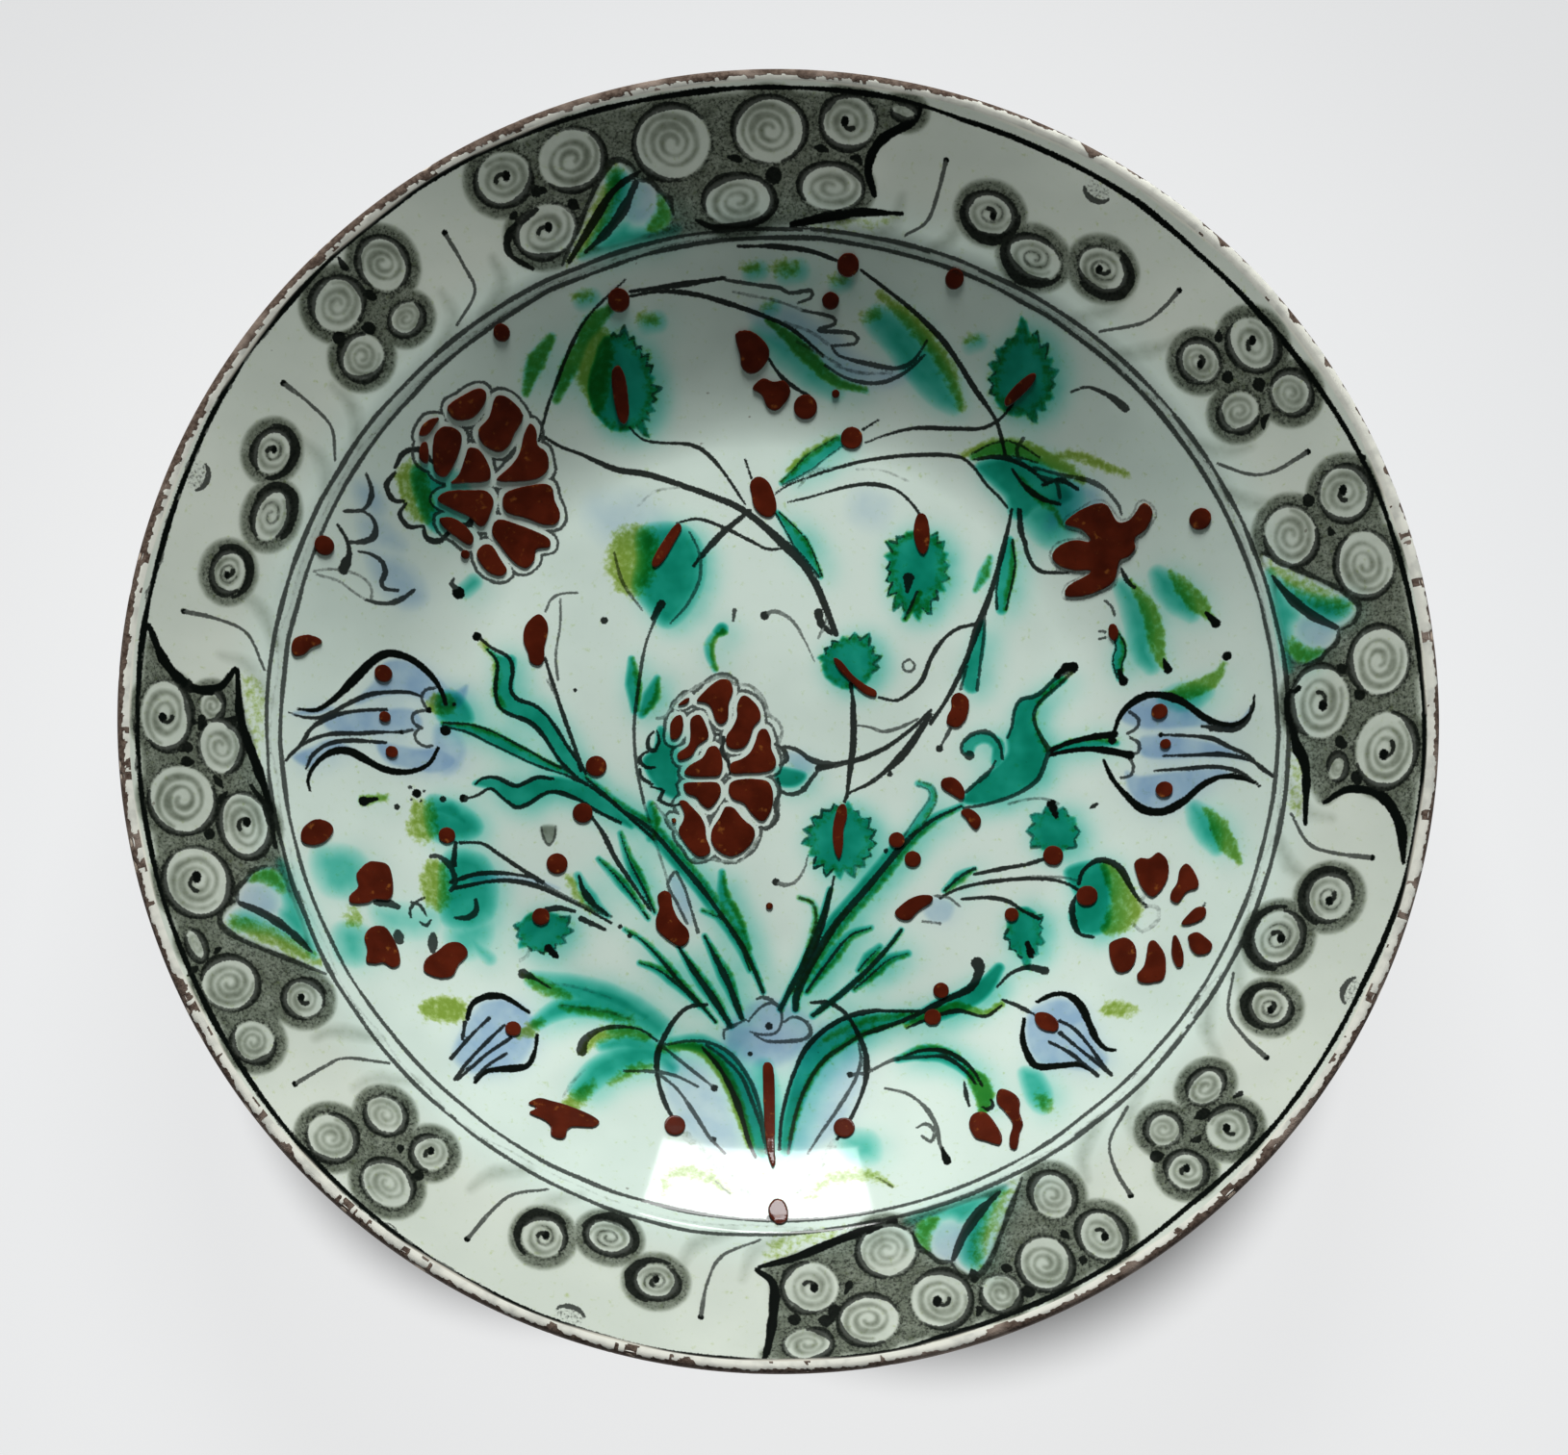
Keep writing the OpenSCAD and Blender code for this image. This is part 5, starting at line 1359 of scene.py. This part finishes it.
# %% [markdown]
# The painted glaze. Washes tint the pale glaze by multiplying, olive and grey ground break into
# grains, and the black line is cut from its stored depth with fine noise so its edge looks dry.

# %% Painted glaze
GLAZE_PALE = (0.605, 0.714, 0.642)
GLAZE_GREY = (0.53, 0.636, 0.57)
RIM_TINT = (0.985, 0.912, 0.89)
INK = (0.003, 0.0045, 0.0035)
IRON_SPECK = (0.12, 0.10, 0.07)
COBALT_STAIN = (0.33, 0.465, 0.75)
COPPER_STAIN = (0.004, 0.278, 0.195)
OLIVE_STAIN = (0.31, 0.42, 0.065)
SMOKE_STAIN = (0.22, 0.235, 0.20)
GROUND_GREY = (0.010, 0.012, 0.009)
CREAM = (0.74, 0.72, 0.62)
paint = Recipe("painted_glaze")
fine = paint.noise(2600, 2)
middle = paint.noise(700, 3, 0.6)
cloud = paint.noise(24, 3)
colour = paint.mix(paint.fit(cloud, 0.35, 0.65), GLAZE_GREY, GLAZE_PALE)
colour = paint.mix(paint.fit(paint.height(), 0.043, 0.049), colour, paint.mix(1.0, colour, RIM_TINT,
    "MULTIPLY"))
specks = paint.fit(paint.noise(420, 1), 0.80, 0.84)
colour = paint.mix(paint.sum("MULTIPLY", specks, 0.6), colour, IRON_SPECK)
cobalt = paint.sum("MULTIPLY", paint.store("cobalt_blue"), paint.fit(paint.noise(160), 0.25, 0.75, 0.60,
    1.02))
colour = paint.stain(colour, cobalt, COBALT_STAIN)
copper = paint.sum("MULTIPLY", paint.store("copper_green"), paint.fit(paint.noise(140), 0.2, 0.8, 0.75,
    1.18))
colour = paint.stain(colour, copper, COPPER_STAIN)
olive = paint.fit(paint.sum("ADD", paint.store("olive_green"),
                            paint.fit(middle, 0.2, 0.8, -0.42, 0.42, False)), 0.12, 0.95)
colour = paint.stain(colour, olive, OLIVE_STAIN)
smoke = paint.sum("MULTIPLY", paint.store("grey_wash"), paint.fit(paint.noise(350, 3, 0.6), 0.2, 0.8,
    0.7, 1.25))
colour = paint.stain(colour, smoke, SMOKE_STAIN)
grit = paint.fit(paint.noise(1500, 3, 0.7), 0.2, 0.8, -0.7, 0.7, False)
ground = paint.fit(paint.sum("ADD", paint.store("grey_ground"), grit), 0.25, 1.0, 0.0, 0.95)
ground = paint.sum("MULTIPLY", ground, paint.fit(paint.store("grey_ground"), 0.02, 0.3))
colour = paint.mix(ground, colour, GROUND_GREY)
ragged = paint.fit(fine, 0.2, 0.8, -0.20, 0.20, False)
mask = paint.fit(paint.sum("ADD", paint.store("black_line"), ragged), -0.10, 0.12)
weight = paint.store("line_weight")
dry = paint.fit(paint.sum("ADD", weight, paint.fit(middle, 0.2, 0.8, -0.35, 0.35, False)), 0.1, 0.75)
ink_amount = paint.sum("MULTIPLY", mask, paint.sum("MULTIPLY", dry, paint.fit(weight, 0.0, 1.0, 0.3,
    1.0, False)))
colour = paint.mix(ink_amount, colour, INK)
colour = paint.mix(paint.sum("MULTIPLY", paint.store("cream"), 0.85), colour, CREAM)
paint.bump(paint.sum("ADD", paint.noise(60, 1), paint.sum("MULTIPLY", paint.noise(300, 2), 0.12)),
    0.0004, 0.5)
painted_glaze = paint.finish(colour, paint.fit(cloud, 0.3, 0.7, 0.42, 0.36), 1.0, 0.05)
for skin in skins:
    skin.data.materials.clear()
    skin.data.materials.append(painted_glaze)
    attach(skin, "root")
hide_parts("front_glaze")
print("painted glaze on", len(skins), "skins")

# %% [markdown]
# The red is a thick iron slip, dabbed on so that it stands up in a soft cushion. The CAD solids
# already have each dab's outline, so a copy is remeshed finely and smoothed until its edges melt.
# Modelling each dab again by hand would only lose the agreement with the frame.

# %% Red slip
red = Recipe("red_slip")
# Lighter orange patches are scattered over the red by noise.
orange_patches = red.fit(red.noise(420, 3, 0.6), 0.60, 0.74)
tone = red.mix(red.fit(red.noise(150, 3), 0.3, 0.7), (0.052, 0.007, 0.0025), (0.088, 0.012, 0.004))
tone = red.mix(red.sum("MULTIPLY", orange_patches, 0.6), tone, (0.26, 0.085, 0.016))
tone = red.mix(red.fit(red.noise(1300, 2), 0.72, 0.80), tone, (0.010, 0.004, 0.003))
red.bump(red.noise(260, 2), 0.0004, 0.5)
red_slip = red.finish(tone, 0.38, 1.0, 0.05)
RED_NODES = ("red_left_carnation", "red_centre_carnation", "red_small_carnations", "red_iris",
             "red_tulip_spots", "red_leaf_pods", "red_buds", "red_berries")
VOXEL = 0.00022
for node in RED_NODES:
    bpy.ops.object.select_all(action="DESELECT")
    copy = bpy.data.objects[node].copy()
    copy.data = copy.data.copy()
    copy.name = copy.data.name = node.replace("red_", "slip_")
    bpy.context.collection.objects.link(copy)
    bpy.context.view_layer.objects.active = copy
    copy.select_set(True)
    bpy.ops.object.parent_clear(type="CLEAR_KEEP_TRANSFORM")
    bpy.ops.object.transform_apply(location=True, rotation=True, scale=True)
    bpy.ops.object.mode_set(mode="EDIT")
    bpy.ops.mesh.select_all(action="SELECT")
    bpy.ops.mesh.remove_doubles(threshold=1e-6)
    bpy.ops.object.mode_set(mode="OBJECT")
    remesh = copy.modifiers.new("remesh", "REMESH")
    remesh.mode = "VOXEL"
    remesh.voxel_size = VOXEL
    soften = copy.modifiers.new("soften", "SMOOTH")
    soften.factor = 0.5
    soften.iterations = 7
    bpy.ops.object.modifier_apply(modifier="remesh")
    bpy.ops.object.modifier_apply(modifier="soften")
    copy.data.shade_smooth()
    copy.data.materials.clear()
    copy.data.materials.append(red_slip)
    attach(copy, "root")
    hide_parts(node)
    print(copy.name, len(copy.data.polygons) * 2, "triangles")

# %% [markdown]
# The lip is where a dish wears first, and chips are small, so it is spun as its own narrow band
# with many steps round. It reaches from the edge of the rim skins over to the back.

# %% Lip band
LIP_STEPS = 2000
lip_profile = np.vstack([
    [(SKIN_R, float(face_height(SKIN_R)))],
    curve([(148.2, 59.72), (149.3, 60.0), (149.9, 59.3)], 7),
    curve([(149.9, 59.3), (150.15, 58.6), (150.1, 57.2)], 6)[1:],
    curve([(150.1, 57.2), (149.9, 55.9), (149.2, 55.0)], 6)[1:],
    curve([(149.2, 55.0), (148.4, 54.0), (147.2, 53.4)], 6)[1:]])
lip = turned("worn_lip", list(zip(*lip_profile.T)), steps=LIP_STEPS)
co = np.empty(len(lip.data.vertices) * 3)
lip.data.vertices.foreach_get("co", co)
co = co.reshape(-1, 3)
lip_r = np.hypot(co[:, 0], co[:, 1]) / MM
lip_z = co[:, 2] / MM
lip_a = np.degrees(np.arctan2(co[:, 1], co[:, 0])) % 360
out = np.clip((lip_r - 147.4) / 0.8, 0, 1)
print("lip band", len(lip_a), "points")

# %% [markdown]
# The worn strip is widest from the top round to the left and again at the lower right, and it
# swells at a few known angles. Waves of several lengths make its edge ragged on both sides.

# %% Worn strip
OUTER_R = 150.1   # the widest point of the lip
BACK_TOP = 57.4   # below this height a point belongs to the back of the lip
EDGE = 0.25       # how soft the border of the worn strip is
worn_by_angle = points("0,1.2 12,0.25 34,0.3 60,0.45 72,1.2 80,1.9 110,2.0 150,1.9 180,1.6 200,1.1 "
    "240,0.9 285,1.0 296,1.7 322,1.8 330,1.2 345,0.6")
worn_width = np.interp(lip_a, worn_by_angle[:, 0], worn_by_angle[:, 1], period=360)
for angle, size in points("289.5,2.4 318,1.7 302,1.3 61,1.9 47,1.2 38,1.4 33,1.3 22,1.1 345,1.2 "
        "205,1.5 222,1.2 250,1.4 262,1.2"):
    worn_width = worn_width + size * np.exp(-(((lip_a - angle + 180) % 360 - 180) / (0.45 * size)) ** 2)
waves = np.zeros(len(lip_a))
for count, height in ((37, 0.25), (83, 0.22), (151, 0.2), (307, 0.2), (613, 0.16)):
    waves += height * np.sin(np.radians(lip_a * count) + rng.random() * 6.28)
worn = np.clip((lip_r - (OUTER_R - worn_width - 0.7 * waves)) / EDGE, 0, 1)
back_side = lip_z < BACK_TOP
worn[back_side] = np.clip((lip_z[back_side] - BACK_TOP + worn_width[back_side] * 1.1
                           + 0.8 * waves[back_side]) / EDGE, 0, 1)
print("worn share of the lip", round(float(worn.mean()), 2))

# %% [markdown]
# Then the chips: shallow bites pressed into the mesh, each one bare. The worn strip also lies a
# tenth of a millimetre lower, because the glaze that covered it has flaked off.

# %% Chips
CHIPS = 150
bites = np.zeros(len(lip_a))
for angle in np.sort(rng.random(CHIPS) * 360):
    size = 0.25 + 0.9 * rng.random() ** 3
    side = (lip_a - angle + 180) % 360 - 180
    level = 56.5 + 3.5 * rng.random()
    gap = np.hypot(np.radians(side) * 150 / 1.6, lip_z - level) / size
    bite = np.clip(1 - gap ** 2, 0, 1)
    worn = np.maximum(worn, (bite > 0.1) * 1.0)
    bites = np.maximum(bites, bite * size * 0.35)
sink = (0.10 * worn + bites) * out
direction = co[:, :2] / np.maximum(np.hypot(co[:, 0], co[:, 1]), 1e-9)[:, None]
co[:, :2] -= direction * (sink * 0.8 * MM)[:, None]
co[:, 2] -= np.where(lip_z > 58.8, sink * 0.5, -sink * 0.1 * (lip_z < 56)) * MM
lip.data.vertices.foreach_set("co", co.ravel())
store = lip.data.attributes.new("worn", "FLOAT", "POINT")
store.data.foreach_set("value", worn)
lip.data.update()
print(CHIPS, "chips, the deepest", round(float(bites.max()), 2), "mm")

# %% [markdown]
# Bare clay on the lip is dark from handling, with paler grit in it, and matt. The rest of the
# band is the same creamy white as the thin glaze beside it.

# %% Lip finish
edge = Recipe("worn_edge")
grain = edge.noise(900, 3, 0.7)
clay = edge.mix(edge.fit(grain, 0.3, 0.7), (0.055, 0.036, 0.027), (0.15, 0.112, 0.088))
clay = edge.mix(edge.fit(edge.noise(90, 2), 0.50, 0.70), clay, (0.25, 0.20, 0.165))
white = edge.mix(edge.fit(edge.noise(260, 3), 0.4, 0.7), (0.67, 0.675, 0.60), (0.52, 0.53, 0.475))
bare = edge.fit(edge.sum("ADD", edge.store("worn"), edge.fit(grain, 0.2, 0.8, -0.3, 0.3, False)), 0.42,
    0.58)
edge.bump(edge.sum("MULTIPLY", edge.noise(1200, 3, 0.7), bare), 0.0004, 0.9)
worn_edge = edge.finish(edge.mix(bare, white, clay), edge.fit(bare, 0, 1, 0.35, 0.85), 0.0)
lip.data.materials.append(worn_edge)
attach(lip, "root")
print("lip", len(lip.data.polygons) * 2, "triangles")

# %% [markdown]
# The underside is a plain glazed wall down to the foot ring, and glaze again inside the ring.
# Both are turned, and both have to look down and outwards.

# %% Back and recess
foot_low, foot_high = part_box("foot_ring")
back_low, back_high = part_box("back_glaze")
UNDER_Z = 8.0   # underside of the body
back_profile = np.vstack([
    curve([(84, 7.6), (97, 11.6), (110.3, 26.9), (119.2, 35.8)], 40),
    curve([(119.2, 35.8), (134, 45), (147.2, 53.4)], 30)[1:]])
back = turned("glazed_back", list(zip(*back_profile.T)), steps=360)
if face_normals(back)[:, 2].mean() > 0:
    turn_over(back)
recess_profile = [(r, UNDER_Z - 0.5) for r in np.linspace(0.0, 70, 30)] + [(72, UNDER_Z - 0.55), (74.3,
    UNDER_Z - 0.9)]
recess = turned("glazed_recess", recess_profile, steps=180)
if face_normals(recess)[:, 2].mean() > 0:
    turn_over(recess)
under = Recipe("back_glaze_pale")
flow = under.noise(28, 3)
pale = under.mix(under.fit(flow, 0.35, 0.65), (0.50, 0.58, 0.52), (0.62, 0.69, 0.62))
pale = under.mix(under.fit(under.noise(900, 2), 0.72, 0.78), pale, (0.16, 0.12, 0.08))
pale = under.mix(under.fit(under.noise(14, 4), 0.60, 0.72, 0.0, 0.5), pale, (0.60, 0.52, 0.38))
under.bump(under.noise(70, 2), 0.0004, 0.6)
back_finish = under.finish(pale, under.fit(flow, 0.3, 0.7, 0.34, 0.42), 1.0, 0.06)
for piece in (back, recess):
    piece.data.materials.append(back_finish)
    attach(piece, "root")
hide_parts("back_glaze")
print("foot", foot_low, foot_high, "back", back_low, back_high)

# %% [markdown]
# The foot ring's standing edge was wiped bare before firing, so it shows rough clay. Its sides
# are glazed down to two millimetres above the table, with a ragged border.

# %% Foot ring
foot_profile = [(74.4, 8.2), (74.5, 6), (75.3, 1.6), (75.8, 0.6), (76.7, 0.05), (78.5, 0.0), (80.3,
    0.05), (81.2, 0.6), (81.7, 1.6), (82.4, 6), (82.6, 8.2)]
foot = turned("foot", foot_profile, steps=720)
if face_normals(foot)[:, 2].mean() > 0:
    turn_over(foot)
stand = Recipe("foot_clay")
grit = stand.noise(800, 3, 0.7)
glazed = stand.fit(stand.sum("ADD", stand.height(), stand.fit(grit, 0.2, 0.8, -0.0006, 0.0006, False)),
    0.0016, 0.0021)
rough_clay = stand.mix(stand.fit(grit, 0.3, 0.7), (0.36, 0.27, 0.19), (0.58, 0.49, 0.37))
pale_foot = stand.mix(stand.fit(stand.noise(60, 2), 0.3, 0.7), (0.50, 0.57, 0.51), (0.62, 0.68, 0.61))
stand.bump(grit, 0.0003, 0.6)
foot.data.materials.append(stand.finish(stand.mix(glazed, rough_clay, pale_foot), stand.fit(glazed, 0,
    1, 0.85, 0.4)))
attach(foot, "root")
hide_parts("foot_ring")
print("foot ring", len(foot.data.polygons) * 2, "triangles")

# %% [markdown]
# The body and the two slips stay as the frame made them, because the glaze covers them. They
# still get a clay and a slip finish of their own, for anyone who lifts the glaze off.

# %% Clay and slip
clay_recipe = Recipe("stonepaste_clay")
grain = clay_recipe.noise(500, 4, 0.7)
clay_recipe.bump(grain, 0.0003, 0.5)
clay_body = clay_recipe.finish(clay_recipe.mix(clay_recipe.fit(grain, 0.3, 0.7), (0.42, 0.33, 0.25),
    (0.60, 0.52, 0.42)), 0.85)
slip_recipe = Recipe("slip_white")
grain = slip_recipe.noise(300, 4, 0.6)
slip_coat = slip_recipe.finish(slip_recipe.mix(slip_recipe.fit(grain, 0.3, 0.7), (0.62, 0.62, 0.56),
    (0.74, 0.73, 0.67)), 0.7)
for node, finish in (("stonepaste_body", clay_body), ("front_slip", slip_coat), ("back_slip",
        slip_coat)):
    bpy.data.objects[node].data.materials.clear()
    bpy.data.objects[node].data.materials.append(finish)
    print(node, "has", finish.name)

# %% [markdown]
# White paper lies under the dish. It glows, though it is no lamp: this is painted light, a little less
# towards the top and a little more close round the dish, so that its tone does not hang on the lights; two
# soft dark lobes beside the dish are a painted shadow of the dish.

# %% Paper
bpy.ops.mesh.primitive_plane_add(size=6, location=(0, 0, 0))
paper = bpy.context.object
paper.name = "paper"
sheet = Recipe("paper_white")
white = sheet.mix(sheet.fit(sheet.noise(3, 2), 0.3, 0.7), (0.86, 0.87, 0.88), (0.88, 0.885, 0.89))
# The lit colour is dimmed to 0.12 of white, so most of the paper's brightness is the painted glow below.
paper.data.materials.append(sheet.finish(sheet.mix(1.0, white, (0.12, 0.12, 0.12), "MULTIPLY"), 0.9))
sheet.put(sheet.shader.inputs["Emission Color"], white)
down = sheet.nodes.new("ShaderNodeSeparateXYZ")
sheet.put(down.inputs[0], sheet.place)
reach = sheet.nodes.new("ShaderNodeVectorMath")
reach.operation = "LENGTH"
sheet.put(reach.inputs[0], sheet.place)
# Painted shadow of the dish: two soft dark lobes that dim the paper's glow.
SHADOWS = (((-0.050, -0.060, 0), 0.059, 0.080, 0.15),   # centre, inner and outer radius, darkness
           ((0.038, -0.055, 0), 0.073, 0.098, 0.10))
# Painted light: the glow fades towards the top and is brightest close round the dish.
glow = sheet.sum("MULTIPLY", sheet.fit(down.outputs["Y"], -0.17, 0.18, 0.825, 0.725, False),
                 sheet.fit(reach.outputs["Value"], 0.15, 0.27, 1.09, 1.0))
for place, near_edge, far_edge, dark in SHADOWS:
    gap = sheet.nodes.new("ShaderNodeVectorMath")
    gap.operation = "DISTANCE"
    sheet.put(gap.inputs[0], sheet.place)
    sheet.put(gap.inputs[1], place)
    glow = sheet.sum("MULTIPLY", glow, sheet.fit(gap.outputs["Value"], near_edge, far_edge, dark, 1.0))
sheet.put(sheet.shader.inputs["Emission Strength"], glow)
print("paper laid")

# %% [markdown]
# One big soft light stands beyond the top of the dish, and a low soft panel in front of it. Of
# the two, the glaze mirrors only the panel: that is the long white glint in the lower wall.

# %% Lights


def soft_light(name, place, aim, wide, tall, power, colour=(1, 1, 1)):
    """A rectangular soft light pointed at a spot."""
    bpy.ops.object.light_add(type="AREA", location=place)
    light = bpy.context.object
    light.name = name
    light.data.shape = "RECTANGLE"
    light.data.size = wide
    light.data.size_y = tall
    light.data.energy = power
    light.data.color = colour
    light.rotation_euler = (Vector(aim) - Vector(place)).to_track_quat("-Z", "Y").to_euler()
    return light


KEY_HIGH = math.radians(38.5)
key = soft_light("key", (0.0, 2.4 * math.cos(KEY_HIGH), 2.4 * math.sin(KEY_HIGH)), (0, 0, 0.03), 1.1,
    0.8, 75)
key.visible_glossy = False
soft_light("low_panel", (0.085, 1.5, 0.345), (0.085, 0, 0.04), 0.58, 0.09, 1.8)
world = bpy.data.worlds.new("studio")
world.use_nodes = True
world.node_tree.nodes["Background"].inputs["Color"].default_value = (0.97, 0.985, 1.0, 1)
world.node_tree.nodes["Background"].inputs["Strength"].default_value = 0.13
world.cycles_visibility.glossy = False
scene.world = world

# %% [markdown]
# The camera stands about two metres off, almost straight above and a little turned, with a long
# lens so that the round outline stays round.

# %% Camera
HIGH = math.radians(80.75)    # elevation of the view
TURN = math.radians(-6.58)    # turn about the dish's axis
DISTANCE = 2.0
toward = Vector((math.sin(TURN) * math.cos(HIGH), -math.cos(TURN) * math.cos(HIGH), math.sin(HIGH)))
across = Vector((math.cos(TURN), math.sin(TURN), 0))
upward = toward.cross(across)
image_right = math.cos(TURN) * across - math.sin(TURN) * upward
image_up = math.sin(TURN) * across + math.cos(TURN) * upward
bpy.ops.object.camera_add()
camera = bpy.context.object
frame_axes = Matrix((image_right, image_up, toward)).transposed().to_4x4()
camera.matrix_world = Matrix.Translation(Vector((0, 0, 0.045)) + DISTANCE * toward) @ frame_axes
camera.data.lens = 201.0
camera.data.shift_x = 0.0038
camera.data.shift_y = -0.0029
scene.camera = camera
print("camera at", [round(v, 3) for v in camera.matrix_world.translation])
